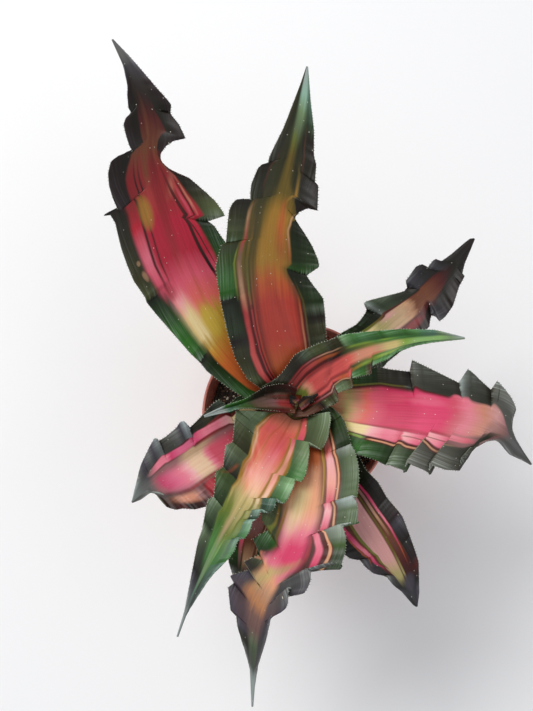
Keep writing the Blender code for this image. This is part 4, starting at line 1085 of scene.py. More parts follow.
# The stripes painted over the margins in turn, and then the patches. A stripe has the t of its two lines at
# some places s, as one list of (s, start, end) or as a list for each line, its colours from base to tip as
# (s, colour) or (s, colour, strength), and how soft its sides are. A patch has the s and t of its middle,
# its half length and half width, its colour and its strength.
LOOKS = {
    "leaf_back_left": {
        "stripes": [
            ([(0.1, -0.62), (0.25, -0.6), (0.4, -0.58), (0.45, -0.68), (0.55, -0.72), (0.66, -0.66),
                (0.72, -0.5), (0.86, -0.3)], [(0.1, 0.5), (0.35, 0.42), (0.42, 0.62), (0.5, 0.68),
                (0.56, 0.66), (0.6, 0.62), (0.66, 0.6), (0.72, 0.7), (0.76, 0.5), (0.86, 0.3)], [(0.1, RUST),
                (0.2, ORANGE), (0.26, GOLD), (0.31, GOLD), (0.35, CORAL), (0.41, ROSE), (0.47, CARMINE),
                (0.55, CARMINE), (0.61, WINE), (0.67, DEEP_RED), (0.73, BROWN, 0.9), (0.79, MAROON, 0.9),
                (0.88, BLACK_BROWN, 0.0)], 0.04),
            ([(0.2, -0.62), (0.4, -0.58)], [(0.2, -0.34), (0.3, -0.24), (0.4, -0.3)], [(0.24, GOLD, 0.0),
                (0.28, CREAM), (0.34, CREAM), (0.38, PALE_PINK, 0.7), (0.42, ROSE, 0.0)], 0.16),
            ([(0.4, -0.7, -0.45), (0.55, -0.72, -0.5)], [(0.39, ROSE, 0.0), (0.44, ROSE), (0.5, PINK, 0.7),
                (0.57, CRIMSON, 0.8), (0.64, DEEP_RED, 0.0)], 0.07),
            ([(0.42, -0.15, 0.02), (0.6, -0.12, 0.1), (0.75, 0.0, 0.18)], [(0.4, BRICK, 0.0),
                (0.46, WINE, 0.5), (0.55, DEEP_RED, 0.7), (0.62, DEEP_RED, 0.8), (0.7, MAROON, 0.6),
                (0.78, MAROON, 0.0)], 0.08),
            ([(0.3, 0.0, 0.06), (0.46, 0.1, 0.14)], [(0.3, RUST, 0.0), (0.36, RUST, 0.6), (0.46, WINE, 0.3),
                (0.5, WINE, 0.0)], 0.05),
            ([(0.6, -0.28, -0.12), (0.74, -0.2, -0.08), (0.84, -0.12, 0.02)], [(0.56, RED, 0.0),
                (0.62, ROUGE, 0.6), (0.67, BROWN, 0.9), (0.76, BROWN, 0.8), (0.86, BROWN, 0.0)], 0.08),
            ([(0.6, 0.16, 0.24), (0.66, 0.4, 0.52), (0.72, 0.8, 1.0)], [(0.59, CLAY, 0.0), (0.63, CLAY, 0.4),
                (0.69, TAUPE, 0.4), (0.73, MAROON, 0.0)], 0.08),
            ([(0.57, 0.4, 0.46), (0.64, 0.4, 0.46)], [(0.56, ROSE, 0.0), (0.59, ROSE, 0.8),
                (0.64, ROUGE, 0.7), (0.68, MAROON, 0.0)], 0.03),
            ([(0.57, 0.52, 0.57), (0.64, 0.54, 0.58)], [(0.56, BLOSSOM, 0.0), (0.59, CLAY, 0.6),
                (0.64, CLAY, 0.4), (0.68, MAROON, 0.0)], 0.02),
            ([(0.4, -0.56, -0.52), (0.5, -0.53, -0.48), (0.6, -0.5, -0.45), (0.68, -0.45, -0.42)],
                [(0.38, MAROON, 0.0), (0.46, MAROON), (0.66, BLACK_BROWN), (0.72, BLACK_BROWN, 0.0)], 0.02),
            ([(0.4, -0.45, -0.42), (0.5, -0.4, -0.37), (0.6, -0.37, -0.34), (0.68, -0.36, -0.32)],
                [(0.4, MAROON, 0.0), (0.46, MAROON), (0.66, BLACK_BROWN), (0.72, BLACK_BROWN, 0.0)], 0.02),
            ([(0.35, 0.47, 0.52), (0.45, 0.43, 0.5), (0.55, 0.42, 0.5), (0.57, 0.3, 0.38),
                (0.68, 0.24, 0.3)], [(0.36, MAROON, 0.0), (0.41, BLACK_BROWN), (0.62, MAROON),
                (0.7, MAROON, 0.0)], 0.015),
            ([(0.4, 0.57, 0.59), (0.5, 0.56, 0.59), (0.57, 0.48, 0.51), (0.66, 0.48, 0.51)],
                [(0.4, MAROON, 0.0), (0.46, MAROON), (0.62, MAROON), (0.68, MAROON, 0.0)], 0.012),
        ],
        "patches": [
            (0.59, -0.36, 0.045, 0.16, OLIVE_GOLD, 0.85), (0.29, -0.04, 0.045, 0.22, MUSTARD, 0.8),
            (0.41, -0.5, 0.025, 0.12, DEEP_RED, 0.5), (0.47, -0.78, 0.014, 0.05, TAN, 0.5),
            # The last patch, stone-grey at the tip, is partly the tip's own scurf and partly painted sheen.
            (0.502, -0.8, 0.007, 0.04, TAN, 0.5), (0.98, 0.0, 0.05, 1.0, STONE, 0.6),
        ],
    },
    "leaf_back": {
        "stripes": [
            ([(0.08, -0.72), (0.14, -0.7), (0.22, -0.63), (0.35, -0.65), (0.5, -0.65), (0.6, -0.6)],
                [(0.08, 0.66), (0.3, 0.58), (0.36, 0.54), (0.42, 0.44), (0.46, 0.44), (0.52, 0.44),
                (0.57, 0.62), (0.61, 0.95), (0.64, 0.5), (0.72, 0.46)], [(0.0, DARK_OLIVE), (0.08, MAROON),
                (0.3, MAROON), (0.36, BROWN), (0.42, OLIVE), (0.6, OLIVE), (0.66, DARK_OLIVE, 0.7),
                (0.78, DARK_OLIVE, 0.4), (0.84, OLIVE_DRAB, 0.0)], 0.03),
            ([(0.08, -0.7, -0.56), (0.16, -0.68, -0.55), (0.24, -0.61, -0.52), (0.35, -0.62, -0.54),
                (0.5, -0.62, -0.56), (0.6, -0.57, -0.53), (0.62, -0.5, -0.46)], [(0.05, ROUGE),
                (0.14, BLUSH), (0.3, ROUGE), (0.36, TAN, 0.9), (0.46, TAUPE, 0.9), (0.5, ROUGE),
                (0.56, TAN, 0.7), (0.61, MAROON, 0.8), (0.66, MAROON, 0.0)], 0.03),
            ([(0.3, -0.7, -0.66), (0.45, -0.69, -0.66), (0.52, -0.66, -0.63)], [(0.33, OLIVE_GREEN, 0.0),
                (0.37, OLIVE_GREEN), (0.46, OLIVE_GREEN), (0.52, OLIVE, 0.0)], 0.015),
            ([(0.08, -0.49, -0.45), (0.2, -0.46, -0.43), (0.35, -0.47, -0.43)], [(0.05, ROUGE),
                (0.3, ROUGE, 0.9), (0.36, OLIVE_GREEN, 0.9), (0.5, OLIVE_GOLD, 0.8),
                (0.6, OLIVE, 0.0)], 0.015),
            ([(0.08, -0.4, -0.37), (0.35, -0.4, -0.36), (0.6, -0.36, -0.32)], [(0.05, EMBER),
                (0.3, EMBER, 0.9), (0.4, OLIVE_GOLD, 0.6), (0.6, OLIVE, 0.0)], 0.02),
            ([(0.05, -0.33), (0.3, -0.31), (0.5, -0.26), (0.58, -0.16), (0.66, -0.1), (0.8, -0.04),
                (0.9, 0.0)], [(0.05, 0.56), (0.3, 0.47), (0.36, 0.42), (0.42, 0.34), (0.46, 0.34),
                (0.52, 0.38), (0.57, 0.54), (0.61, 0.8), (0.64, 0.34), (0.7, 0.16), (0.9, 0.16)],
                [(0.05, RUST), (0.13, RUST), (0.2, EMBER), (0.31, EMBER), (0.37, RUST), (0.43, OLIVE_GOLD),
                (0.52, OLIVE_GOLD), (0.57, OLIVE_GOLD), (0.63, OLIVE), (0.74, OLIVE),
                (0.8, OLIVE_GREEN, 0.7), (0.86, SAGE, 0.0)], 0.12),
            ([(0.05, 0.58, 0.61), (0.35, 0.5, 0.54)], [(0.08, TAN, 0.0), (0.14, TAN, 0.7), (0.3, RUST, 0.8),
                (0.36, OLIVE, 0.0)], 0.02),
            ([(0.05, 0.68, 0.71), (0.35, 0.58, 0.61)], [(0.08, TAUPE, 0.0), (0.14, TAUPE, 0.8),
                (0.3, OLIVE, 0.8), (0.4, OLIVE, 0.0)], 0.02),
            ([(0.44, 0.38, 0.42), (0.52, 0.38, 0.42), (0.56, 0.5, 0.55), (0.61, 0.9, 0.96)],
                [(0.42, RUST, 0.0), (0.46, RUST, 0.8), (0.52, TAN, 0.9), (0.6, TAN, 0.9),
                (0.63, OLIVE, 0.0)], 0.03),
            ([(0.42, 0.14, 0.32), (0.52, 0.1, 0.3), (0.6, 0.2, 0.44)], [(0.4, WINE, 0.0), (0.46, WINE, 0.5),
                (0.54, BRICK, 0.6), (0.6, RUST, 0.5), (0.64, OLIVE, 0.0)], 0.12),
            ([(0.6, 0.36, 0.44), (0.7, 0.36, 0.44)], [(0.6, OLIVE_GOLD, 0.0), (0.65, OLIVE_GOLD, 0.8),
                (0.7, OLIVE, 0.6), (0.74, OLIVE, 0.0)], 0.03),
            ([(0.7, 0.48, 0.52), (0.84, 0.56, 0.62)], [(0.7, BROWN, 0.0), (0.74, BROWN, 0.5),
                (0.82, BROWN, 0.3), (0.86, DARK_GREEN, 0.0)], 0.05),
            ([(0.6, -0.68, -0.6), (0.76, -0.6, -0.55)], [(0.63, BROWN, 0.0), (0.66, BROWN, 0.5),
                (0.74, BROWN, 0.4), (0.8, BLACK_BROWN, 0.0)], 0.05),
            ([(0.76, -0.06, 0.2), (0.88, -0.14, 0.5), (1.0, -0.5, 0.95)], [(0.76, OLIVE_GREEN, 0.0),
                (0.82, STONE_GREEN, 0.8), (0.87, SAGE, 0.9), (0.92, PALE_TEAL), (0.98, SILVER)], 0.25),
        ],
        "patches": [
            (0.31, -0.45, 0.008, 0.06, MAROON, 0.5), (0.5, -0.4, 0.2, 0.14, DARK_OLIVE, 0.6),
            (0.66, -0.4, 0.1, 0.24, DARK_OLIVE, 0.7),
        ],
    },
    "leaf_right": {
        "stripes": [
            ([(0.1, -0.6), (0.3, -0.66), (0.46, -0.58), (0.52, -0.5), (0.6, -0.5), (0.65, -0.62),
                (0.7, -0.42), (0.76, -0.48), (0.84, -0.2)], [(0.1, 0.6), (0.3, 0.66), (0.44, 0.66),
                (0.455, 0.6), (0.5, 0.64), (0.56, 0.64), (0.575, 0.58), (0.62, 0.68), (0.65, 0.64),
                (0.66, 0.56), (0.72, 0.54), (0.8, 0.3)], [(0.1, BROWN), (0.25, MAROON), (0.6, MAROON),
                (0.72, MAUVE, 0.7), (0.84, SLATE, 0.0)], 0.02),
            ([(0.2, -0.7, -0.66), (0.45, -0.66, -0.62)], [(0.15, OLIVE_GOLD), (0.25, OLIVE_GREEN),
                (0.44, OLIVE, 0.8), (0.47, SILVER, 0.0)], 0.015),
            ([(0.1, -0.56), (0.3, -0.58), (0.46, -0.52), (0.52, -0.45), (0.6, -0.45), (0.65, -0.6),
                (0.7, -0.38), (0.77, -0.5), (0.84, -0.2)], [(0.1, 0.34), (0.35, 0.33), (0.5, 0.36),
                (0.65, 0.36), (0.7, 0.34), (0.8, 0.22), (0.88, 0.1)], [(0.1, HONEY), (0.15, PEACH),
                (0.19, STRAW), (0.23, CLAY), (0.27, CORAL), (0.31, ROSE), (0.36, CERISE), (0.44, CERISE),
                (0.5, HOT_PINK), (0.58, HOT_PINK), (0.63, ROSE), (0.68, PINK), (0.74, CLAY, 0.9),
                (0.79, DUSTY_PINK), (0.83, MAUVE), (0.87, PLUM, 0.6), (0.93, PLUM, 0.0)], 0.05),
            ([(0.15, 0.33), (0.35, 0.34), (0.5, 0.36), (0.7, 0.36)], [(0.15, 0.54), (0.3, 0.56),
                (0.44, 0.57), (0.455, 0.51), (0.5, 0.54), (0.56, 0.55), (0.575, 0.49), (0.62, 0.58),
                (0.65, 0.55), (0.66, 0.48), (0.72, 0.46)], [(0.14, OLIVE_GOLD), (0.2, PALE_YELLOW),
                (0.26, CREAM), (0.3, CREAM), (0.33, PALE_PINK), (0.38, PINK), (0.42, PINK), (0.45, ROSE),
                (0.46, PALE_PINK), (0.51, PINK), (0.565, HOT_PINK), (0.58, PALE_PINK), (0.62, PINK),
                (0.655, HOT_PINK), (0.665, PINK), (0.72, ROSE), (0.78, MAUVE, 0.0)], 0.02),
            ([(0.15, 0.3, 0.33), (0.45, 0.3, 0.33), (0.7, 0.33, 0.36)], [(0.15, OLIVE_GOLD, 0.0),
                (0.3, WINE, 0.5), (0.66, WINE, 0.7), (0.74, MAUVE, 0.0)], 0.03),
            ([(0.4, 0.44, 0.46), (0.5, 0.42, 0.44), (0.56, 0.44, 0.46), (0.6, 0.44, 0.46),
                (0.7, 0.42, 0.44)], [(0.44, BROWN, 0.0), (0.47, BROWN, 0.7), (0.64, BROWN, 0.7),
                (0.7, BROWN, 0.0)], 0.012),
            ([(0.15, 0.57, 0.62), (0.3, 0.59, 0.65)], [(0.12, LIME), (0.3, LIME),
                (0.325, DARK_GREEN, 0.0)], 0.015),
            ([(0.33, 0.61, 0.64), (0.44, 0.61, 0.64), (0.455, 0.55, 0.58), (0.5, 0.59, 0.62),
                (0.56, 0.59, 0.62), (0.575, 0.53, 0.56), (0.62, 0.63, 0.66), (0.65, 0.59, 0.62)],
                [(0.32, PEACH, 0.0), (0.35, PEACH, 0.9), (0.6, TAN, 0.9), (0.66, TAN, 0.5),
                (0.7, TAN, 0.0)], 0.012),
            ([(0.16, -0.52, -0.48), (0.3, -0.54, -0.5)], [(0.16, LIME, 0.0), (0.2, OLIVE_GREEN, 0.5),
                (0.3, OLIVE, 0.4), (0.36, ROSE, 0.0)], 0.04),
        ],
        "patches": [
            (0.69, 0.16, 0.09, 0.4, DUSTY_PINK, 0.3), (0.52, -0.3, 0.08, 0.14, PINK, 0.35),
            (0.36, -0.36, 0.1, 0.16, ROSE, 0.5), (0.81, 0.1, 0.06, 0.3, TAUPE, 0.5),
            # The stone-grey patch at the tip is partly the tip's own scurf and partly painted sheen.
            (0.9, 0.1, 0.06, 0.3, STONE, 0.6),
        ],
    },
    "leaf_front": {
        "stripes": [
            ([(0.0, -0.6), (0.15, -0.58), (0.28, -0.62), (0.36, -0.62), (0.44, -0.6), (0.5, -0.78),
                (0.56, -0.72), (0.6, -0.3), (0.7, -0.2)], [(0.0, 0.6), (0.4, 0.5), (0.45, 0.56), (0.55, 0.5),
                (0.6, 0.75), (0.65, 0.6), (0.72, 0.4)], [(0.0, BROWN), (0.2, BROWN), (0.5, MAROON),
                (0.57, MAROON, 0.9), (0.6, PLUM, 0.0)], 0.025),
            ([(0.0, -0.58, -0.54), (0.15, -0.56, -0.51), (0.28, -0.58, -0.54), (0.36, -0.58, -0.54),
                (0.44, -0.6, -0.56), (0.5, -0.75, -0.69), (0.57, -0.7, -0.62)], [(0.0, PEACH), (0.1, PEACH),
                (0.3, PEACH, 0.9), (0.36, TAN), (0.45, PEACH), (0.56, TAN), (0.6, PLUM, 0.0)], 0.015),
            ([(0.0, -0.46, -0.28), (0.15, -0.46, -0.28), (0.28, -0.51, -0.3), (0.36, -0.5, -0.34),
                (0.44, -0.46, -0.32), (0.5, -0.58, -0.44), (0.55, -0.56, -0.44)], [(0.0, BLOSSOM),
                (0.12, BLOSSOM), (0.155, CORAL), (0.19, PALE_PINK), (0.27, BLOSSOM), (0.33, ROSE),
                (0.36, PALE_PINK), (0.4, PINK), (0.43, ROSE), (0.46, PINK), (0.54, HOT_PINK),
                (0.58, MAROON, 0.0)], 0.03),
            ([(0.1, -0.27, -0.2), (0.2, -0.25, -0.18), (0.3, -0.31, -0.26), (0.36, -0.33, -0.28),
                (0.44, -0.3, -0.25), (0.5, -0.34, -0.26)], [(0.0, OLIVE), (0.2, OLIVE_GOLD), (0.3, BROWN),
                (0.36, MAROON), (0.5, WINE), (0.54, WINE, 0.0)], 0.015),
            # Near the base this stripe is rust: partly the blade's own colour, partly painted shadow under
            # leaf_front_left's curled edge.
            ([(0.1, -0.13), (0.2, -0.1), (0.3, -0.18), (0.36, -0.23), (0.44, -0.22), (0.53, -0.24),
                (0.6, -0.1), (0.7, -0.05), (0.8, -0.1), (0.9, -0.3)], [(0.0, 0.5), (0.35, 0.5), (0.45, 0.43),
                (0.5, 0.38), (0.54, 0.46), (0.58, 0.55), (0.62, 0.72), (0.65, 0.66), (0.69, 0.66),
                (0.74, 0.44), (0.8, 0.4), (0.9, 0.6)], [(0.0, RUST), (0.13, RUST), (0.18, ORANGE),
                (0.22, PEACH), (0.34, PEACH), (0.39, BLOSSOM), (0.43, PINK), (0.48, HOT_PINK),
                (0.54, HOT_PINK), (0.585, PINK), (0.62, PEACH), (0.66, TAN), (0.7, HONEY),
                (0.735, TAUPE, 0.9), (0.77, TAUPE, 0.6), (0.81, STONE_GREEN, 0.7),
                (0.92, STONE, 0.0)], 0.13),
            ([(0.12, -0.19, -0.15), (0.3, -0.25, -0.22)], [(0.1, GOLD, 0.0), (0.14, OLIVE_GOLD),
                (0.28, GOLD, 0.8), (0.36, TAN, 0.0)], 0.012),
            ([(0.12, 0.06), (0.3, 0.3), (0.4, 0.46)], [(0.12, 0.5), (0.3, 0.56), (0.44, 0.6)], [(0.1, RUST),
                (0.22, RUST, 0.9), (0.34, ORANGE, 0.7), (0.42, OLIVE_GOLD, 0.0)], 0.16),
            ([(0.24, 0.02), (0.4, 0.14), (0.46, 0.2)], [(0.24, 0.2), (0.36, 0.4), (0.46, 0.44)],
                [(0.22, PEACH, 0.0), (0.3, CREAM, 0.9), (0.37, CREAM, 0.9), (0.44, ECRU, 0.8),
                (0.48, PALE_PINK, 0.6), (0.56, PINK, 0.0)], 0.15),
            ([(0.36, 0.44, 0.49), (0.46, 0.46, 0.52), (0.53, 0.5, 0.58)], [(0.36, OLIVE_GOLD, 0.0),
                (0.4, OLIVE_GOLD, 0.9), (0.5, OLIVE), (0.56, OLIVE, 0.0)], 0.03),
            ([(0.4, 0.6, 0.65), (0.46, 0.6, 0.66), (0.5, 0.66, 0.78), (0.53, 0.72, 1.1)],
                [(0.38, OLIVE_GOLD, 0.0), (0.42, OLIVE_GOLD, 0.8), (0.5, OLIVE_GREEN, 0.9),
                (0.53, OLIVE, 0.9), (0.54, OLIVE, 0.0)], 0.03),
            ([(0.53, -0.2, -0.06), (0.58, 0.03, 0.2), (0.62, 0.26, 0.5), (0.66, 0.4, 0.62)],
                [(0.52, STRAW, 0.0), (0.55, KHAKI), (0.6, STRAW), (0.65, STRAW, 0.9),
                (0.7, KHAKI, 0.0)], 0.16),
            ([(0.59, 0.64, 0.7), (0.62, 0.8, 0.88), (0.64, 1.0, 1.2)], [(0.58, SALMON, 0.0),
                (0.6, SALMON, 0.8), (0.64, TAN, 0.7), (0.66, TAN, 0.0)], 0.03),
            ([(0.55, -0.4, -0.3), (0.63, -0.3, -0.22)], [(0.55, MAROON, 0.0), (0.58, WINE, 0.8),
                (0.63, MAUVE, 0.0)], 0.04),
        ],
        "patches": [
            (0.6, -0.45, 0.02, 0.2, SLATE, 0.5), (0.73, 0.1, 0.09, 0.9, MAUVE, 0.2),
            # The last patch, silver at the tip, is partly the tip's own scurf and partly painted sheen.
            (0.87, 0.05, 0.08, 0.3, GREY_GREEN, 0.5), (0.96, 0.0, 0.07, 1.4, SILVER, 0.9),
        ],
    },
    "leaf_front_left": {
        "stripes": [
            ([(0.0, -0.3), (0.06, -0.45), (0.12, -0.5), (0.2, -0.56), (0.3, -0.58), (0.4, -0.56),
                (0.5, -0.6), (0.65, -0.5)], [(0.0, 1.05), (0.06, 0.82), (0.1, 0.64), (0.15, 0.53),
                (0.3, 0.5), (0.42, 0.48), (0.52, 0.55), (0.6, 0.5), (0.7, 0.4)], [(0.0, BROWN),
                (0.1, OLIVE_GOLD), (0.4, OLIVE_GOLD), (0.46, OLIVE_GREEN), (0.55, OLIVE_GREEN),
                (0.68, GREEN, 0.5), (0.76, GREEN, 0.0)], 0.03),
            ([(0.0, -0.3, -0.2), (0.06, -0.45, -0.3), (0.12, -0.5, -0.36), (0.2, -0.5, -0.4),
                (0.3, -0.52, -0.38), (0.42, -0.5, -0.38)], [(0.0, CORAL), (0.1, ROSE), (0.17, BLOSSOM),
                (0.24, CLAY), (0.33, BLOSSOM), (0.4, ECRU), (0.46, KHAKI, 0.9),
                (0.56, OLIVE_GREEN, 0.0)], 0.03),
            ([(0.0, -0.17), (0.08, -0.26), (0.2, -0.34), (0.35, -0.31), (0.5, -0.26), (0.65, -0.1)],
                [(0.0, 0.9), (0.05, 0.74), (0.1, 0.54), (0.15, 0.44), (0.2, 0.38), (0.4, 0.36), (0.5, 0.24),
                (0.7, 0.24)], [(0.0, CLAY), (0.05, SALMON), (0.1, CORAL), (0.18, CORAL), (0.25, SALMON),
                (0.32, BLOSSOM), (0.37, PEACH), (0.42, STRAW), (0.5, KHAKI), (0.58, OLIVE_GREEN),
                (0.66, LIGHT_GREEN, 0.8), (0.76, SAGE, 0.8), (0.86, SLATE, 0.0)], 0.05),
            ([(0.14, -0.2, 0.06), (0.3, -0.24, 0.08)], [(0.1, ROSE, 0.0), (0.17, ROSE, 0.5),
                (0.22, PINK, 0.5), (0.3, BLOSSOM, 0.7), (0.38, ECRU, 0.4), (0.44, KHAKI, 0.0)], 0.1),
            ([(0.0, 0.36, 0.4), (0.1, 0.2, 0.23), (0.3, 0.2, 0.24)], [(0.0, RUST, 0.5), (0.1, RUST, 0.6),
                (0.2, OLIVE_GOLD, 0.5), (0.34, OLIVE_GOLD, 0.0)], 0.03),
            ([(0.0, 0.1, 0.16), (0.1, -0.02, 0.03), (0.2, -0.06, -0.02)], [(0.0, RUST, 0.5),
                (0.1, BRICK, 0.5), (0.2, BRICK, 0.3), (0.26, BRICK, 0.0)], 0.04),
            ([(0.1, 0.26, 0.4), (0.36, 0.26, 0.35)], [(0.08, ROSE, 0.0), (0.14, CORAL, 0.8),
                (0.24, BRICK, 0.7), (0.3, BRICK, 0.6), (0.36, TAN, 0.5), (0.4, KHAKI, 0.0)], 0.05),
            ([(0.0, 0.92, 0.98), (0.05, 0.76, 0.8), (0.1, 0.56, 0.6), (0.15, 0.46, 0.5), (0.2, 0.39, 0.44),
                (0.35, 0.38, 0.44), (0.5, 0.42, 0.47)], [(0.0, SALMON), (0.15, TAN), (0.25, CLAY),
                (0.35, OLIVE_GOLD), (0.44, STRAW, 0.8), (0.54, OLIVE_GREEN, 0.0)], 0.02),
            ([(0.36, -0.04, 0.0), (0.6, -0.02, 0.02), (0.85, 0.0, 0.06)], [(0.34, OLIVE, 0.0),
                (0.42, OLIVE, 0.5), (0.6, LEAF_GREEN, 0.6), (0.8, DARK_GREEN, 0.5),
                (0.9, SLATE, 0.0)], 0.05),
            ([(0.3, -0.36, -0.32), (0.6, -0.3, -0.26)], [(0.28, BROWN, 0.0), (0.34, OLIVE_GOLD, 0.8),
                (0.5, OLIVE, 0.7), (0.6, OLIVE, 0.0)], 0.03),
            ([(0.42, 0.2, 0.4), (0.56, 0.22, 0.5), (0.72, 0.3, 0.46)], [(0.36, KHAKI, 0.0),
                (0.42, KHAKI, 0.8), (0.48, OLIVE_GREEN, 0.8), (0.56, LEAF_GREEN, 0.8), (0.64, GREEN, 0.8),
                (0.7, GREEN, 0.6), (0.8, BLACK_GREEN, 0.0)], 0.14),
            ([(0.42, 0.04, 0.14), (0.6, 0.06, 0.16), (0.85, 0.14, 0.34)], [(0.38, CREAM, 0.0),
                (0.46, STRAW, 0.8), (0.55, BEIGE, 0.9), (0.64, SAGE), (0.74, SAGE), (0.84, TEAL_GREEN, 0.7),
                (0.92, SLATE, 0.0)], 0.08),
            ([(0.32, 0.55, 0.58), (0.37, 0.7, 0.76), (0.41, 0.9, 0.97)], [(0.32, RUST, 0.0),
                (0.34, RUST, 0.7), (0.39, BROWN, 0.7), (0.42, RUST, 0.0)], 0.06),
        ],
        "patches": [
            # The second patch, silver at the tip, is partly the tip's own scurf and partly painted sheen.
            (0.47, -0.52, 0.05, 0.12, KHAKI, 0.5), (0.97, 0.0, 0.09, 1.2, SILVER, 0.7),
        ],
    },
    "leaf_left": {
        "stripes": [
            ([(0.0, -0.7), (0.5, -0.62), (0.8, -0.56), (0.88, -0.3)], [(0.0, 0.7), (0.3, 0.72), (0.5, 0.68),
                (0.56, 0.74), (0.59, 0.55), (0.85, 0.55)], [(0.0, OLIVE), (0.3, MAROON), (0.5, WINE),
                (0.6, MAROON), (0.82, MAROON, 0.8), (0.88, SLATE, 0.0)], 0.02),
            ([(0.0, -0.5), (0.5, -0.54), (0.7, -0.48), (0.85, -0.36)], [(0.0, 0.3), (0.5, 0.32), (0.7, 0.3),
                (0.86, 0.3)], [(0.3, MAUVE), (0.45, MAUVE), (0.54, BEIGE), (0.64, BEIGE), (0.7, MAUVE, 0.9),
                (0.84, MAUVE, 0.6), (0.88, MAUVE, 0.0)], 0.06),
            ([(0.0, -0.5), (0.5, -0.52), (0.7, -0.46), (0.85, -0.34)], [(0.0, 0.2), (0.5, 0.14),
                (0.58, 0.06), (0.7, 0.08), (0.86, 0.18)], [(0.0, SALMON), (0.3, CRIMSON), (0.4, ROSE),
                (0.5, ROSE), (0.53, PINK), (0.56, ECRU), (0.62, ECRU), (0.66, PALE_PINK), (0.7, PINK),
                (0.75, ORCHID), (0.81, MAGENTA, 0.9), (0.86, MAUVE, 0.5), (0.9, PLUM, 0.0)], 0.16),
            ([(0.25, 0.42, 0.66), (0.35, 0.38, 0.6), (0.5, 0.42, 0.66), (0.56, 0.42, 0.72), (0.6, 0.3, 0.5),
                (0.72, 0.33, 0.54), (0.85, 0.33, 0.5)], [(0.2, CREAM), (0.32, CREAM), (0.35, PALE_PINK),
                (0.42, PINK), (0.5, PINK), (0.565, MAGENTA), (0.59, ORCHID), (0.66, ORCHID), (0.71, MAGENTA),
                (0.745, PINK), (0.8, PINK), (0.85, MAUVE, 0.8), (0.88, SLATE, 0.0)], 0.025),
            ([(0.66, -0.84, -0.6), (0.84, -0.78, -0.56)], [(0.67, WINE, 0.0), (0.7, MAUVE), (0.74, CLAY),
                (0.79, CLAY, 0.9), (0.84, BROWN, 0.7), (0.88, CHARCOAL, 0.0)], 0.08),
            ([(0.5, -0.6, -0.53), (0.8, -0.53, -0.47)], [(0.5, DEEP_RED), (0.7, WINE, 0.9),
                (0.82, MAROON, 0.7), (0.87, CHARCOAL, 0.0)], 0.03),
        ],
        "patches": [
            (0.6, -0.2, 0.05, 0.24, ECRU, 0.7), (0.63, -0.72, 0.04, 0.16, CRIMSON, 0.8),
            # The stone-grey patch at the tip is partly the tip's own colour and partly painted sheen.
            (0.9, 0.0, 0.05, 0.5, STONE, 0.6),
        ],
    },
    "leaf_young_right": {
        "stripes": [
            ([(0.0, -0.66), (0.3, -0.64), (0.4, -0.5), (0.6, -0.42), (0.8, -0.3)], [(0.0, 0.68), (0.18, 0.7),
                (0.25, 0.62), (0.32, 0.72), (0.4, 0.5), (0.6, 0.4)], [(0.0, DARK_OLIVE), (0.06, MAROON),
                (0.2, MAROON), (0.3, BLACK_BROWN), (0.37, OLIVE_DRAB), (0.48, OLIVE_GREEN),
                (0.6, GREEN, 0.6), (0.75, GREEN, 0.0)], 0.04),
            ([(0.0, -0.62, -0.57), (0.3, -0.61, -0.57)], [(0.0, WINE), (0.1, ROUGE), (0.18, MAUVE),
                (0.24, TAN), (0.32, TAN, 0.8), (0.36, BROWN, 0.0)], 0.03),
            ([(0.0, -0.52, -0.4), (0.35, -0.5, -0.42)], [(0.0, WINE), (0.06, ROUGE), (0.14, BLUSH, 0.9),
                (0.22, RUST), (0.27, ORANGE, 0.8), (0.31, BROWN, 0.7), (0.36, BROWN, 0.0)], 0.06),
            ([(0.0, -0.465, -0.455), (0.3, -0.46, -0.45)], [(0.0, MAROON), (0.2, MAROON, 0.7),
                (0.3, MAROON, 0.0)], 0.02),
            ([(0.36, -0.5, -0.42), (0.5, -0.5, -0.4), (0.7, -0.5, -0.4)], [(0.34, OLIVE_GREEN, 0.0),
                (0.38, LIME), (0.46, LIME), (0.52, GREEN), (0.57, LIME), (0.65, GREEN, 0.8),
                (0.75, GREEN, 0.0)], 0.06),
            ([(0.0, -0.3, -0.25), (0.3, -0.28, -0.24)], [(0.0, RED), (0.1, WINE), (0.3, MAROON),
                (0.4, OLIVE, 0.0)], 0.02),
            ([(0.0, -0.2), (0.3, -0.2), (0.45, -0.18), (0.6, -0.26), (0.8, -0.3), (0.95, -0.6)],
                [(0.0, 0.32), (0.3, 0.36), (0.45, 0.28), (0.6, 0.32), (0.85, 0.42)], [(0.0, OLIVE_GREEN),
                (0.025, OLIVE_GREEN), (0.055, CLAY), (0.09, BLUSH), (0.29, BLUSH), (0.34, CORAL),
                (0.39, CLAY), (0.46, CLAY), (0.51, TAN), (0.56, STRAW), (0.61, STRAW), (0.66, LIME),
                (0.73, LIGHT_GREEN), (0.86, LIGHT_GREEN), (0.92, SAGE), (1.0, SILVER)], 0.12),
            ([(0.03, 0.3, 0.35), (0.3, 0.3, 0.36)], [(0.03, MAROON, 0.0), (0.1, WINE, 0.8),
                (0.28, WINE, 0.7), (0.36, WINE, 0.0)], 0.05),
            ([(0.0, 0.38), (0.2, 0.4), (0.33, 0.44), (0.36, 0.52)], [(0.0, 0.5), (0.2, 0.52), (0.25, 0.54),
                (0.33, 0.66), (0.36, 0.7)], [(0.0, BROWN), (0.04, ROUGE), (0.1, BLUSH), (0.22, BLUSH),
                (0.28, RUST), (0.33, BLUSH), (0.37, OLIVE_GOLD, 0.0)], 0.05),
            ([(0.05, 0.58, 0.63), (0.2, 0.6, 0.65), (0.26, 0.56, 0.6), (0.33, 0.68, 0.74)], [(0.03, WINE),
                (0.12, MAUVE), (0.24, TAN), (0.3, TAN), (0.36, BROWN, 0.0)], 0.03),
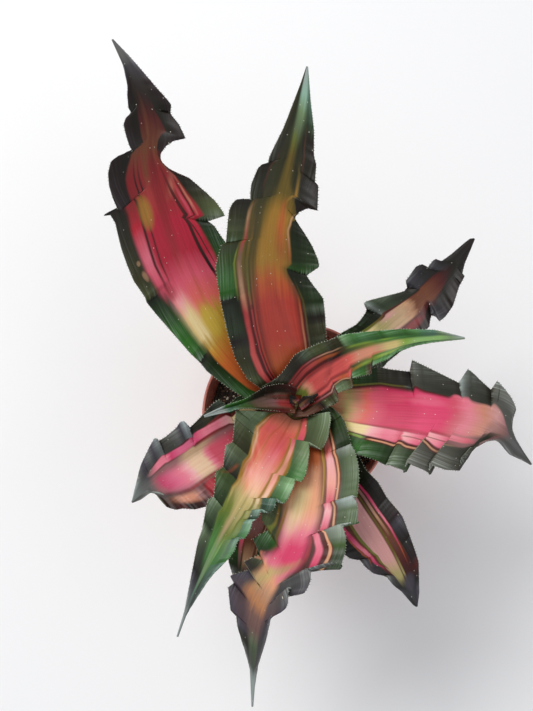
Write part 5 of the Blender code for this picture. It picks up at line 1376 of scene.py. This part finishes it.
            ([(0.35, 0.56, 0.66), (0.42, 0.44, 0.56), (0.47, 0.4, 0.54), (0.5, 0.46, 0.7),
                (0.6, 0.44, 0.66)], [(0.34, OLIVE_GOLD, 0.0), (0.37, OLIVE_GOLD), (0.43, LIME),
                (0.48, OLIVE_GREEN), (0.53, LIME), (0.62, LIME, 0.8), (0.72, LEAF_GREEN, 0.0)], 0.08),
        ],
        "patches": [
            (0.5, 0.28, 0.06, 0.1, CORAL, 0.4),
        ],
    },
    "leaf_young_left": {
        "stripes": [
            ([(0.0, -0.72), (0.4, -0.74), (0.6, -0.6)], [(0.0, 0.38), (0.3, 0.38), (0.45, 0.4), (0.6, 0.3)],
                [(0.0, MAROON), (0.05, BROWN), (0.2, TAUPE), (0.42, TAUPE, 0.9), (0.5, OLIVE_DRAB),
                (0.6, GREEN, 0.6), (0.7, TEAL_GREEN, 0.6), (0.8, SILVER, 0.6)], 0.15),
            ([(0.0, -0.64), (0.4, -0.55)], [(0.0, -0.1), (0.2, -0.08), (0.35, 0.1)], [(0.0, MAROON, 0.0),
                (0.04, WINE), (0.08, ROUGE), (0.17, ROUGE, 0.9), (0.24, MAUVE, 0.7), (0.36, TAUPE, 0.5),
                (0.44, OLIVE_DRAB, 0.0)], 0.16),
            ([(0.0, -0.4, -0.37), (0.3, -0.36, -0.32)], [(0.04, MAROON, 0.0), (0.08, WINE, 0.8),
                (0.25, MAROON, 0.4), (0.4, OLIVE, 0.0)], 0.04),
            ([(0.0, -0.08, -0.02), (0.3, -0.02, 0.03)], [(0.04, BLACK_BROWN, 0.0), (0.08, MAROON, 0.9),
                (0.3, MAROON, 0.6), (0.44, OLIVE, 0.0)], 0.05),
            ([(0.0, 0.1, 0.2), (0.3, 0.12, 0.24)], [(0.04, DEEP_RED, 0.0), (0.08, DEEP_RED, 0.8),
                (0.22, WINE, 0.6), (0.32, OLIVE, 0.0)], 0.08),
        ],
        "patches": [
            # The pale silver patch at the tip is partly the tip's own scurf and partly a painted highlight.
            (0.84, 0.0, 0.1, 0.5, PALE_SILVER, 0.6),
        ],
    },
    "leaf_right_front": {
        "stripes": [
            ([(0.0, -0.56), (0.4, -0.56), (0.7, -0.58), (0.85, -0.72)], [(0.0, 0.6), (0.55, 0.6),
                (0.68, 0.6), (0.74, 0.72), (0.8, 0.5), (0.86, 0.5)], [(0.0, OLIVE), (0.4, BLACK_BROWN),
                (0.7, BROWN), (0.82, MAROON, 0.8), (0.9, CHARCOAL, 0.0)], 0.02),
            ([(0.0, -0.52, -0.42), (0.4, -0.52, -0.44), (0.56, -0.56, -0.48), (0.75, -0.56, -0.52)],
                [(0.0, ROSE), (0.5, MAGENTA), (0.62, PINK), (0.72, MAGENTA, 0.9), (0.78, RUST, 0.8),
                (0.86, MAROON, 0.0)], 0.02),
            ([(0.3, -0.4, -0.3), (0.7, -0.42, -0.34)], [(0.3, TAN), (0.5, MAUVE), (0.6, TAN, 0.9),
                (0.7, BROWN, 0.9), (0.78, SLATE, 0.0)], 0.02),
            ([(0.3, -0.26, -0.2), (0.75, -0.28, -0.2)], [(0.3, OLIVE), (0.55, OLIVE), (0.75, OLIVE),
                (0.85, KHAKI, 0.8), (0.9, SLATE, 0.0)], 0.02),
            ([(0.2, -0.18), (0.5, -0.16), (0.65, -0.18), (0.88, -0.16)], [(0.2, 0.4), (0.55, 0.44),
                (0.64, 0.38), (0.7, 0.32), (0.78, 0.34), (0.84, 0.36), (0.9, 0.3)], [(0.0, SALMON),
                (0.4, PALE_PINK), (0.6, DUSTY_PINK), (0.76, DUSTY_PINK), (0.8, BEIGE), (0.85, KHAKI, 0.9),
                (0.91, CHARCOAL, 0.0)], 0.03),
            ([(0.55, 0.42, 0.5), (0.64, 0.38, 0.46), (0.7, 0.32, 0.38), (0.76, 0.34, 0.42),
                (0.8, 0.28, 0.32)], [(0.5, OLIVE), (0.7, OLIVE_GREEN), (0.8, OLIVE),
                (0.86, KHAKI, 0.0)], 0.02),
            ([(0.6, 0.6, 0.75), (0.66, 0.5, 0.64), (0.7, 0.44, 0.56), (0.75, 0.52, 0.64), (0.8, 0.36, 0.46)],
                [(0.45, ROSE), (0.62, MAGENTA), (0.7, PINK), (0.76, MAGENTA), (0.81, MAROON, 0.6),
                (0.86, MAROON, 0.0)], 0.03),
            ([(0.64, 0.68, 0.72), (0.7, 0.6, 0.63), (0.75, 0.7, 0.73)], [(0.6, RUST, 0.0), (0.64, RUST, 0.9),
                (0.74, RUST, 0.9), (0.78, RUST, 0.0)], 0.015),
        ],
        "patches": [
            (0.9, -0.35, 0.04, 0.4, SLATE, 0.8), (0.84, 0.05, 0.03, 0.2, KHAKI, 0.6),
        ],
    },
    "leaf_right_back": {
        "stripes": [
            ([(0.0, -0.6), (0.42, -0.52), (0.5, -0.36), (0.6, -0.3), (0.8, -0.3)], [(0.0, 0.6), (0.5, 0.6),
                (0.6, 0.8), (0.68, 0.6), (0.8, 0.3)], [(0.0, BROWN), (0.4, OLIVE_GREEN), (0.48, OLIVE),
                (0.54, MAROON), (0.66, MAROON), (0.76, BLACK_BROWN, 0.6), (0.84, BLACK_BROWN, 0.0)], 0.03),
            ([(0.35, -0.4), (0.46, -0.3), (0.52, -0.22), (0.64, -0.26), (0.85, -0.22)], [(0.35, 0.4),
                (0.5, 0.42), (0.6, 0.44), (0.7, 0.4), (0.85, 0.25)], [(0.0, SALMON), (0.42, CREAM),
                (0.46, KHAKI), (0.51, DUSTY_PINK), (0.56, BEIGE), (0.6, TAN), (0.635, BROWN), (0.7, BROWN),
                (0.77, MAROON, 0.9), (0.86, BLACK_BROWN, 0.0)], 0.05),
            ([(0.45, -0.06, 0.3), (0.6, 0.0, 0.4)], [(0.4, KHAKI, 0.0), (0.48, KHAKI, 0.8),
                (0.57, BEIGE, 0.8), (0.62, BROWN, 0.0)], 0.06),
            ([(0.48, -0.26, -0.22), (0.6, -0.28, -0.24)], [(0.46, MAROON, 0.0), (0.5, MAROON),
                (0.6, MAROON, 0.9), (0.66, MAROON, 0.0)], 0.015),
        ],
        "patches": [
            (0.59, 0.62, 0.05, 0.14, DEEP_RED, 0.7),
        ],
    },
    "leaf_low_front": {
        "stripes": [
            ([(0.0, -0.6, 0.6), (0.6, -0.5, 0.55), (0.9, -0.4, 0.4)], [(0.0, BROWN), (0.5, MAROON),
                (0.8, BROWN, 0.9), (0.92, CHARCOAL, 0.0)], 0.03),
            ([(0.0, -0.3, 0.25), (0.6, -0.3, 0.28), (0.85, -0.2, 0.2)], [(0.0, SALMON), (0.5, BRICK),
                (0.64, MAUVE), (0.74, BROWN), (0.84, TAN, 0.8), (0.92, SLATE, 0.0)], 0.04),
            ([(0.0, 0.34, 0.5), (0.7, 0.34, 0.52), (0.85, 0.3, 0.45)], [(0.0, ROSE), (0.6, CRIMSON),
                (0.76, ROSE), (0.84, MAUVE, 0.7), (0.9, MAUVE, 0.0)], 0.03),
            ([(0.0, -0.46, -0.4), (0.8, -0.4, -0.35)], [(0.0, PEACH), (0.6, TAN, 0.8), (0.8, TAN, 0.6),
                (0.86, TAN, 0.0)], 0.02),
        ],
        "patches": [],
    },
}

HEART = {
    "stripes": [
        ([(0.0, -0.3, 0.3), (1.0, -0.2, 0.2)], [(0.0, OLIVE), (0.3, BROWN), (0.7, BLACK_BROWN, 0.5),
            (1.0, BLACK_BROWN, 0.0)], 0.1),
    ],
    "patches": [],
}


def flap_ramp(net, s, flaps):
    """Each flap of a margin fades from a painted highlight at its start to painted shade at its end. The
    next one then starts sharply, or over the length given as its fourth value. The strength beside the
    colour is the silver scurf with painted sheen on it, which lies thickest where a flap starts."""
    knots = []
    for index, (start, light, dark, *soft) in enumerate(flaps):
        after = flaps[index + 1] if index + 1 < len(flaps) else (1.0, dark, dark)
        end = after[0] - (after[3] if len(after) > 3 else SHARP_START)
        middle = tuple((1 - FLAP_FADE) * a + FLAP_FADE * b for a, b in zip(light, dark))
        scurf_and_sheen = min(1.0, light[1] / FULL_SCURF_AND_SHEEN_GREEN)
        knots.append((start, light, SOFT_SCURF_AND_SHEEN * scurf_and_sheen if soft else scurf_and_sheen))
        knots.append((start + FLAP_MIDDLE * (end - start), middle, MIDDLE_SCURF_AND_SHEEN * scurf_and_sheen))
        knots.append((end, dark, 0.0))
    return net.ramp(s, knots)


def leaf_map(net, name):
    """The two values of one of a leaf's maps."""
    place = net.node("ShaderNodeUVMap", uv_map=name).outputs[0]
    parts = net.node("ShaderNodeSeparateXYZ")
    net.put(parts.inputs[0], place)
    return parts.outputs[0], parts.outputs[1]


def stripe_lines(first, second=None):
    """The two lines of a stripe, which one list may give together."""
    if second:
        return first, second
    return [(s, start) for s, start, end in first], [(s, end) for s, start, end in first]


def stripe(net, colour, across, s, ragged, lines, colours, soft):
    """One stripe over the colour so far, between its two lines."""
    start, end = stripe_lines(*lines)
    low = net.less(across, net.line(s, start))
    high = net.less(net.line(s, end), across)
    soft = soft / ACROSS_SPAN
    mask = net.times(net.step(low, -soft, soft), net.step(high, -soft, soft))
    tint, strength = net.ramp(ragged, colours)
    return net.mix(net.times(mask, strength), colour, tint)


def patch(net, colour, across, s, fine, s0, t0, ds, dt, tint, strength):
    """One soft spot over the colour so far, with a frayed edge."""
    along = net.math("DIVIDE", net.less(s, s0), ds)
    aside = net.math("DIVIDE", net.less(across, place_across(t0)), dt / ACROSS_SPAN)
    away = net.add(net.times(along, along), net.times(aside, aside))
    away = net.add(away, net.swing(fine, PATCH_FRAY))
    mask = net.times(net.step(away, PATCH_RIM, PATCH_HEART), strength)
    return net.mix(mask, colour, tint)


def specks(net, size):
    """Pale round specks in some of the cells of a pattern."""
    cells = net.node("ShaderNodeTexVoronoi")
    cells.voronoi_dimensions = "2D"
    net.put(cells.inputs["Vector"], net.scaled(size, SPECK_CELLS, SPECK_CELLS))
    net.put(cells.inputs["Scale"], 1.0)
    chosen = net.node("ShaderNodeSeparateXYZ")
    net.put(chosen.inputs[0], cells.outputs["Color"])
    spot = net.step(cells.outputs["Distance"], SPECK_RIM, SPECK_HEART)
    return net.times(spot, net.step(chosen.outputs[0], SPECK_CHOICE, 1.0))


def leaf_material(name, flaps, look, under=False):
    """The margins' flaps, painted from highlight to shade, with silver scurf and painted sheen, then the
    stripes of one blade over its leaf map, with fibres, pale specks and a fine grain along it.
    """
    net = Net(name)
    aside, s = leaf_map(net, "leaf")
    size = net.node("ShaderNodeUVMap", uv_map="size").outputs[0]
    wander = net.noise(net.scaled(size, *WANDER_SCALE), scale=1.0)
    across = net.math("MULTIPLY_ADD", aside, 2 / ACROSS_SPAN, 0.5 / ACROSS_SPAN)
    across = net.add(across, net.swing(wander, WANDER))
    fine = net.noise(net.scaled(size, *FINE_FIBRE_SCALE), scale=1.0, detail=3.0, roughness=0.6)
    broad = net.noise(net.scaled(size, *BROAD_FIBRE_SCALE), scale=1.0)
    ragged = net.add(s, net.swing(broad, STRIPE_FRAY))
    out = net.math("ABSOLUTE", net.less(across, 0.5))
    frayed = net.add(s, net.swing(fine, FLAP_FRAY))
    # Each margin's own colours, with a painted highlight at each flap's start and painted shade at its end.
    left, left_scurf_and_sheen = flap_ramp(net, frayed, flaps[0])
    right, right_scurf_and_sheen = flap_ramp(net, frayed, flaps[1])
    side = net.step(across, low=0.49, high=0.51)
    colour = net.mix(side, left, right)
    # Silver scurf with painted sheen, thickest on the lit start of each flap, near the outer edge, in
    # patches of the fibres.
    scurf_and_sheen = net.add(net.times(left_scurf_and_sheen, net.less(1.0, side)), net.times(right_scurf_and_sheen, side))
    scurf_and_sheen = net.times(scurf_and_sheen, net.step(out, *SCURF_AND_SHEEN_ACROSS))
    scurf_and_sheen = net.times(scurf_and_sheen, net.step(fine, *SCURF_AND_SHEEN_FIBRES))
    colour = net.mix(net.times(scurf_and_sheen, SCURF_AND_SHEEN), colour, SCURF_AND_SHEEN_COLOUR)
    # Painted shade over the inner part of each margin.
    inner_shade = net.times(net.step(out, *INNER_MARGIN_SHADE_ACROSS), INNER_MARGIN_SHADE)
    colour = net.mix(inner_shade, colour, BLACK_GREEN)
    for *lines, colours, soft in look["stripes"]:
        colour = stripe(net, colour, across, s, ragged, lines, colours, soft)
    for spot in look["patches"]:
        colour = patch(net, colour, across, s, fine, *spot)
    streak = net.add(net.times(fine, FINE_SHARE), net.times(broad, 1.0 - FINE_SHARE))
    grey = net.ramp(streak, [(0.36, SHADE), (0.64, SHINE)])[0]
    colour = net.mix(FIBRE_STRENGTH, colour, grey, "OVERLAY")
    colour = net.mix(net.times(specks(net, size), SPECK_STRENGTH), colour, SPECK)
    if under:
        colour = net.mix(UNDERSIDE_STRENGTH, colour, UNDERSIDE)
    colour = net.mix(net.times(net.step(out, *SPINE_ACROSS), SPINE_STRENGTH), colour, SPINE)
    smoothest = UNDER_ROUGHNESS if under else LEAF_ROUGHNESS
    net.put(net.shader.inputs["Specular IOR Level"], LEAF_SPECULAR)
    net.bump(strength=0.4, distance=0.0003, height=streak)
    return net.finish(colour, net.math("MULTIPLY_ADD", fine, LEAF_ROUGH_SWING, smoothest))


def pot_material():
    """Thin pinkish terracotta plastic, mottled and a little dusty."""
    net = Net("pot_terracotta")
    place = net.object_place()
    broad = net.noise(place, scale=0.09, detail=3.0)
    fine = net.noise(place, scale=1.1, detail=3.0, roughness=0.6)
    colour = net.ramp(broad, [(0.3, TERRACOTTA_DARK), (0.5, TERRACOTTA), (0.7, TERRACOTTA_LIGHT)])[0]
    dust = net.step(fine, low=0.52, high=0.7)
    colour = net.mix(net.times(dust, DUST_STRENGTH), colour, POT_DUST)
    spots = net.noise(place, scale=0.35, detail=4.0, roughness=0.7)
    dirt = net.step(spots, low=0.6, high=0.72)
    colour = net.mix(net.times(dirt, DIRT_STRENGTH), colour, POT_DIRT)
    net.bump(strength=0.2, distance=0.0002, height=fine)
    return net.finish(colour, net.math("MULTIPLY_ADD", fine, POT_ROUGH_SWING, POT_ROUGHNESS))


def soil_material():
    """Near-black peat with brown bits."""
    net = Net("potting_soil")
    place = net.object_place()
    grain = net.noise(place, scale=0.9, detail=4.0, roughness=0.7)
    bits = net.step(net.noise(place, scale=0.35), low=0.56, high=0.68)
    colour = net.ramp(grain, [(0.3, PEAT_DARK), (0.55, PEAT), (0.75, PEAT_LIGHT)])[0]
    colour = net.mix(net.times(bits, BITS_STRENGTH), colour, PEAT_BITS)
    net.bump(strength=0.8, distance=0.0006, height=grain)
    return net.finish(colour, SOIL_ROUGHNESS)


def crumb_material():
    """Bark, fibre and the odd pale grain among the soil, told apart by a number kept for each crumb."""
    net = Net("soil_crumbs")
    kind = net.node("ShaderNodeAttribute", attribute_name="kind").outputs["Fac"]
    grain = net.noise(net.object_place(), scale=2.2, detail=3.0, roughness=0.6)
    colour = net.ramp(kind, CRUMB_COLOURS)[0]
    grey = net.ramp(grain, [(0.3, SHADE), (0.7, SHINE)])[0]
    colour = net.mix(GRAIN_STRENGTH, colour, grey, "OVERLAY")
    return net.finish(colour, CRUMB_ROUGHNESS)


def stem_material():
    """Olive bark with pale rings."""
    net = Net("stem_bark")
    place = net.scaled(net.object_place(), x=0.3, y=0.3, z=1.6)
    rings = net.noise(place, scale=1.0, detail=3.0)
    colour = net.ramp(rings, [(0.35, BARK_DARK), (0.55, BARK), (0.7, BARK_LIGHT)])[0]
    return net.finish(colour, STEM_ROUGHNESS)


def floor_material():
    """Nearly white, a little uneven."""
    net = Net("floor_paint")
    place = net.node("ShaderNodeTexCoord").outputs["Object"]
    tone = net.noise(place, scale=3.0)
    colour = net.ramp(tone, [(0.0, FLOOR_GREY), (1.0, FLOOR_WHITE)])[0]
    return net.finish(colour, FLOOR_ROUGHNESS)


def pot_inside(height):
    """The radius of the pot's inner face at a height."""
    part = height / POT_HEIGHT
    return POT_BASE_RADIUS + (POT_RIM_RADIUS - POT_BAND_STEP - POT_BASE_RADIUS) * part - POT_WALL


def round_way(radius, index, steps):
    """A point on a level circle, one of so many even steps round it."""
    angle = 2 * math.pi * index / steps
    return radius * math.cos(angle), radius * math.sin(angle)


def ring(radius, height, steps):
    """The points of a level circle."""
    return [(*round_way(radius, index, steps), height) for index in range(steps)]


def rounded(corners, size):
    """The profile with a small arc of points at each corner."""
    points = [corners[0]]
    for before, here, after in zip(corners[:-2], corners[1:-1], corners[2:]):
        here = Vector(here)
        one = Vector(before) - here
        two = Vector(after) - here
        reach = min(size, one.length * CORNER_SHARE, two.length * CORNER_SHARE)
        start = here + one.normalized() * reach
        end = here + two.normalized() * reach
        for part in CORNER_PARTS:
            first = start.lerp(here, part)
            second = here.lerp(end, part)
            points.append(tuple(first.lerp(second, part)))
    points.append(corners[-1])
    return points


def revolved(name, profile, steps, materials, wobble=None):
    """A body turned round the z axis from (radius, height) points, closed where they meet the axis."""
    points = []
    faces = []
    rings = []
    for radius, height in profile:
        if radius < ON_THE_AXIS:
            rings.append([len(points)] * steps)
            points.append((0.0, 0.0, height))
            continue
        rings.append([len(points) + index for index in range(steps)])
        for index in range(steps):
            grown = radius
            if wobble:
                grown += wobble(2 * math.pi * index / steps, height)
            points.append((*round_way(grown, index, steps), height))
    for low, high in zip(rings[:-1], rings[1:]):
        for index in range(steps):
            after = (index + 1) % steps
            face = [low[index], high[index], high[after], low[after]]
            face = [corner for spot, corner in enumerate(face) if corner != face[spot - 1]]
            if len(face) > 2:
                faces.append(face)
    return mesh_object(name, points, faces, materials)


def pot_profile():
    """The pot's section from the middle of its floor up the inside, over the rim and down the outside."""
    band = POT_HEIGHT - POT_BAND_HEIGHT
    return [
        (0.0, POT_FOOT_HEIGHT),
        (POT_BASE_RADIUS - POT_WALL - 1.0, POT_FOOT_HEIGHT),
        (pot_inside(3.0), 3.0),
        (pot_inside(band), band),
        (POT_RIM_RADIUS - 1.9, band + 1.6),
        (POT_RIM_RADIUS - 1.4, POT_HEIGHT - 0.4),
        (POT_RIM_RADIUS - 1.2, POT_HEIGHT),
        (POT_RIM_RADIUS - 0.4, POT_HEIGHT),
        (POT_RIM_RADIUS, POT_HEIGHT - 0.6),
        (POT_RIM_RADIUS - 0.1, POT_HEIGHT - 2.2),
        (POT_RIM_RADIUS - 0.45, POT_HEIGHT - 2.6),
        (POT_RIM_RADIUS - 0.6, band + 0.6),
        (POT_RIM_RADIUS - 1.0, band),
        (pot_inside(band) + POT_WALL, band - 0.8),
        (POT_BASE_RADIUS + 0.3, 1.0),
        (POT_BASE_RADIUS - 0.5, 0.0),
        (POT_BASE_RADIUS - 3.0, 0.0),
        (POT_BASE_RADIUS - 3.6, 0.8),
        (4.0, 0.8),
        (3.4, 0.0),
        (0.0, 0.0),
    ]


def with_levels(profile):
    """The profile with more points on its tall stretches."""
    levels = []
    for before, after in zip(profile[:-1], profile[1:]):
        levels.append(before)
        parts = int(abs(after[1] - before[1]) / POT_LEVEL_HEIGHT) + 1
        for part in range(1, parts):
            share = part / parts
            levels.append(tuple(low + (high - low) * share for low, high in zip(before, after)))
    levels.append(profile[-1])
    return levels


def pot_wobble(angle, height):
    """A slight oval, as thin pots have, growing towards the rim."""
    return POT_WOBBLE * math.sin(2 * angle + POT_WOBBLE_TURN) * (height / POT_HEIGHT) ** 2


def add_pot():
    """The pot with its rim band and the drain holes cut through its floor."""
    profile = rounded(with_levels(pot_profile()), POT_ROUNDING)
    pot = revolved("skin_pot", profile, POT_STEPS, [pot_material()], pot_wobble)
    for index in range(DRAIN_HOLES):
        x, y = round_way(DRAIN_RING_RADIUS, index, DRAIN_HOLES)
        bpy.ops.mesh.primitive_cylinder_add(
            vertices=DRAIN_CUT_STEPS,
            radius=DRAIN_HOLE_RADIUS * MM,
            depth=DRAIN_CUT_DEPTH * MM,
            location=(x * MM, y * MM, 0.0),
        )
        cutter = bpy.context.object
        cut = pot.modifiers.new(f"drain_{index}", "BOOLEAN")
        cut.operation = "DIFFERENCE"
        cut.solver = "EXACT"
        cut.object = cutter
        bpy.context.view_layer.objects.active = pot
        bpy.ops.object.modifier_apply(modifier=cut.name)
        bpy.data.objects.remove(cutter)
    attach(pot, "root")
    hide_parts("pot")


def hills(x, y, waves):
    """A sum of slanted waves, for an uneven top."""
    return sum(size * np.sin(x * kx + y * ky + phase) for size, kx, ky, phase in waves)


def hill_waves(random):
    """Waves of a few lengths, each in several directions: size, the two wave numbers and the phase."""
    waves = []
    for wavelength, size in HILLS:
        for _ in range(HILLS_OF_A_SIZE):
            way = random.uniform(0, 2 * math.pi)
            k = 2 * math.pi / wavelength
            waves.append((size / 2, k * math.cos(way), k * math.sin(way), random.uniform(0, HILL_PHASE)))
    return waves


def soil_plug(hole, edge, waves):
    """The plug's points and faces: the rough top, the side, the flat base and the hole for the stem."""
    steps = SOIL_STEPS
    points = []
    for level, radius in enumerate(np.linspace(hole, edge, SOIL_LEVELS)):
        angle = np.arange(steps) * 2 * math.pi / steps
        x = radius * np.cos(angle)
        y = radius * np.sin(angle)
        fall = (radius - hole) / (edge - hole)
        z = SOIL_TOP - SOIL_FALL * fall + hills(x, y, waves) * (HILLS_AT_STEM if level == 0 else 1.0)
        points += np.stack([x, y, z], 1).tolist()
    foot = SOIL_BASE + SOIL_CHAMFER
    points += ring(pot_inside(foot) - SOIL_GAP - SOIL_FOOT_GAP, foot, steps)
    points += ring(pot_inside(SOIL_BASE) - SOIL_GAP - (SOIL_FOOT_GAP + SOIL_CHAMFER), SOIL_BASE, steps)
    base = len(points) - steps
    faces = []
    for level in range(0, base, steps):
        for index in range(steps):
            a = level + index
            b = level + (index + 1) % steps
            faces.append((a, a + steps, b + steps, b))
    points.append((0.0, 0.0, SOIL_BASE))
    for index in range(steps):
        faces.append((base + (index + 1) % steps, base + index, len(points) - 1))
    start = len(points)
    points += ring(hole, STEM_BASE - STEM_HOLE_GAP, steps)
    points.append((0.0, 0.0, STEM_BASE - STEM_HOLE_GAP))
    for index in range(steps):
        after = (index + 1) % steps
        faces.append((index, after, start + after, start + index))
        faces.append((start + index, start + after, len(points) - 1))
    return points, faces


def small_ball():
    """Corners and faces of a ball of radius 1."""
    shape = bmesh.new()
    bmesh.ops.create_icosphere(shape, subdivisions=1, radius=1.0)
    corners = np.array([vert.co[:] for vert in shape.verts])
    faces = np.array([[vert.index for vert in face.verts] for face in shape.faces])
    shape.free()
    return corners, faces


def crumb(random, ball, hole, edge, waves):
    """One crumb's kind, 0 to 1, and its corners, half sunk in the soil's top."""
    reach = ((hole + CRUMB_HOLE_GAP) ** 2, (edge - CRUMB_EDGE_GAP) ** 2)
    radius = math.sqrt(random.uniform(*reach))
    angle = random.uniform(0, 2 * math.pi)
    x = radius * math.cos(angle)
    y = radius * math.sin(angle)
    fall = (radius - hole) / (edge - hole)
    z = SOIL_TOP - SOIL_FALL * fall + float(hills(x, y, waves))
    kind = random.uniform(0, 1)
    size = random.uniform(*CRUMB_SIZE) * (PALE_CRUMB_GROWTH if kind > PALE_CRUMB else 1.0)
    bark = BARK_CRUMB[0] < kind < BARK_CRUMB[1]
    long = random.uniform(*BARK_LENGTH) if bark else random.uniform(*PEAT_LENGTH)
    lumps = ball * random.uniform(*CRUMB_LUMPS, (len(ball), 1))
    lumps = lumps * np.array([size * long, size, size * CRUMB_FLATNESS])
    turn = random.uniform(0, 2 * math.pi)
    lean = random.uniform(-CRUMB_LEAN, CRUMB_LEAN)
    spin = [[math.cos(turn), -math.sin(turn), 0], [math.sin(turn), math.cos(turn), 0], [0, 0, 1]]
    tip = [[math.cos(lean), 0, -math.sin(lean)], [0, 1, 0], [math.sin(lean), 0, math.cos(lean)]]
    lumps = lumps @ np.array(tip).T @ np.array(spin).T
    return kind, lumps + np.array([x, y, z + size * CRUMB_LIFT])


def add_soil():
    """A plug with a rough, clotted top, and loose crumbs of bark and peat half sunk in it."""
    random = np.random.default_rng(SOIL_SEED)
    waves = hill_waves(random)
    hole = STEM_RADIUS + STEM_HOLE_GAP
    edge = pot_inside(SOIL_TOP) - SOIL_GAP - SOIL_EDGE_GAP
    points, faces = soil_plug(hole, edge, waves)
    ball, ball_faces = small_ball()
    kinds = [0.0] * len(points)
    marks = [0] * len(faces)
    for _ in range(CRUMBS):
        kind, corners = crumb(random, ball, hole, edge, waves)
        base = len(points)
        points += corners.tolist()
        faces += (ball_faces + base).tolist()
        kinds += [kind] * len(ball)
        marks += [1] * len(ball_faces)
    soil = mesh_object("skin_soil", points, faces, [soil_material(), crumb_material()])
    soil.data.polygons.foreach_set("material_index", marks)
    kept = soil.data.attributes.new("kind", "FLOAT", "POINT")
    kept.data.foreach_set("value", kinds)
    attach(soil, "root")
    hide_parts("soil")


def add_stem():
    """The stem with a ring at each old leaf scar, rounded at both ends."""
    profile = [(0.0, STEM_BASE), (STEM_RADIUS * 0.6, STEM_BASE), (STEM_RADIUS, STEM_BASE + 2.0)]
    height = STEM_BASE + 3.0
    while height < STEM_TOP - 4.5:
        profile += [(STEM_RADIUS - SCAR_DEPTH, height), (STEM_RADIUS, height + SCAR_HEIGHT)]
        height += SCAR_STEP
    profile += [(STEM_RADIUS, STEM_TOP - 3.5), (STEM_RADIUS * 0.85, STEM_TOP - 1.4)]
    profile += [(STEM_RADIUS * 0.5, STEM_TOP - 0.3), (0.0, STEM_TOP)]
    stem = revolved("skin_stem", profile[::-1], STEM_STEPS, [stem_material()])
    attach(stem, "root")
    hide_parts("stem")


LEAF_SLOTS = {name: name.replace("leaf_", "blade_") for name in LEAVES}
LEAF_SLOTS["heart_leaf_1"] = "blade_heart"
LEAF_SLOTS["heart_leaf_2"] = "blade_heart"


def add_camera():
    """The photo's view: 78 degrees above the horizon, 650 mm from the middle of the pot's rim."""
    elevation = math.radians(VIEW_ELEVATION)
    back = Vector((0.0, -math.cos(elevation), math.sin(elevation)))
    up = Vector((0.0, math.sin(elevation), math.cos(elevation)))
    aside = (RIM_PIXEL_X - PHOTO_WIDTH / 2) / FOCAL_PIXELS * VIEW_DISTANCE
    above = -(RIM_PIXEL_Y - PHOTO_HEIGHT / 2) / FOCAL_PIXELS * VIEW_DISTANCE
    place = Vector((0.0, 0.0, POT_HEIGHT)) + back * VIEW_DISTANCE
    place = place - Vector((1.0, 0.0, 0.0)) * aside - up * above
    data = bpy.data.cameras.new("camera")
    data.sensor_fit = "VERTICAL"
    data.sensor_height = SENSOR_HEIGHT
    data.lens = FOCAL_PIXELS / PHOTO_HEIGHT * SENSOR_HEIGHT
    data.clip_start = CLIP_START
    camera = bpy.data.objects.new("camera", data)
    camera.location = place * MM
    camera.rotation_euler = (math.radians(90.0 - VIEW_ELEVATION), 0.0, 0.0)
    scene.collection.objects.link(camera)
    scene.camera = camera


def add_light(name, place, size, power, colour):
    """A round lamp that looks at the middle of the plant."""
    light = bpy.data.lights.new(name, "AREA")
    light.shape = "DISK"
    light.size = size
    light.energy = power
    light.color = colour
    made = bpy.data.objects.new(name, light)
    made.location = place
    direction = Vector(LIGHT_AIM) - Vector(place)
    made.rotation_euler = direction.to_track_quat("-Z", "Y").to_euler()
    scene.collection.objects.link(made)


def add_lights():
    """A key light from the upper left, a weak fill from the lower right and a pale sky."""
    add_light("key", place=(-0.7, 0.7, 1.2), size=1.0, power=16.0, colour=(1.0, 0.99, 0.97))
    add_light("fill", place=(0.9, -0.6, 0.9), size=1.4, power=4.0, colour=(0.95, 0.97, 1.0))
    world = bpy.data.worlds.new("studio")
    world.use_nodes = True
    background = world.node_tree.nodes["Background"]
    background.inputs["Color"].default_value = SKY_COLOUR
    background.inputs["Strength"].default_value = SKY_STRENGTH
    scene.world = world
    scene.view_settings.view_transform = "Standard"


def add_floor():
    """The floor just under the pot."""
    bpy.ops.mesh.primitive_circle_add(
        vertices=FLOOR_STEPS,
        radius=FLOOR_RADIUS,
        fill_type="NGON",
        location=(0, 0, FLOOR_HEIGHT),
    )
    floor = bpy.context.object
    floor.name = "floor"
    floor.data.materials.append(floor_material())


def main():
    """The camera, the lights and the floor, then the pot, the soil, the stem and the leaves."""
    add_camera()
    add_lights()
    add_floor()
    add_pot()
    add_soil()
    add_stem()
    lifts = settled_leaves()
    for layer, (name, leaf) in enumerate(LEAVES.items()):
        small = name.startswith("heart")
        rows, columns = (HEART_ROWS, HEART_COLUMNS) if small else (ROWS, COLUMNS)
        flaps = FLAPS.get(name, HEART_FLAPS)
        look = LOOKS.get(name, HEART)
        upper = leaf_material("blade_" + name, flaps, look)
        lower = leaf_material("under_" + name, flaps, look, not small)
        add_leaf(name, leaf, layer, lifts[name], rows, columns, [upper, lower], LEAF_SLOTS[name])


main()
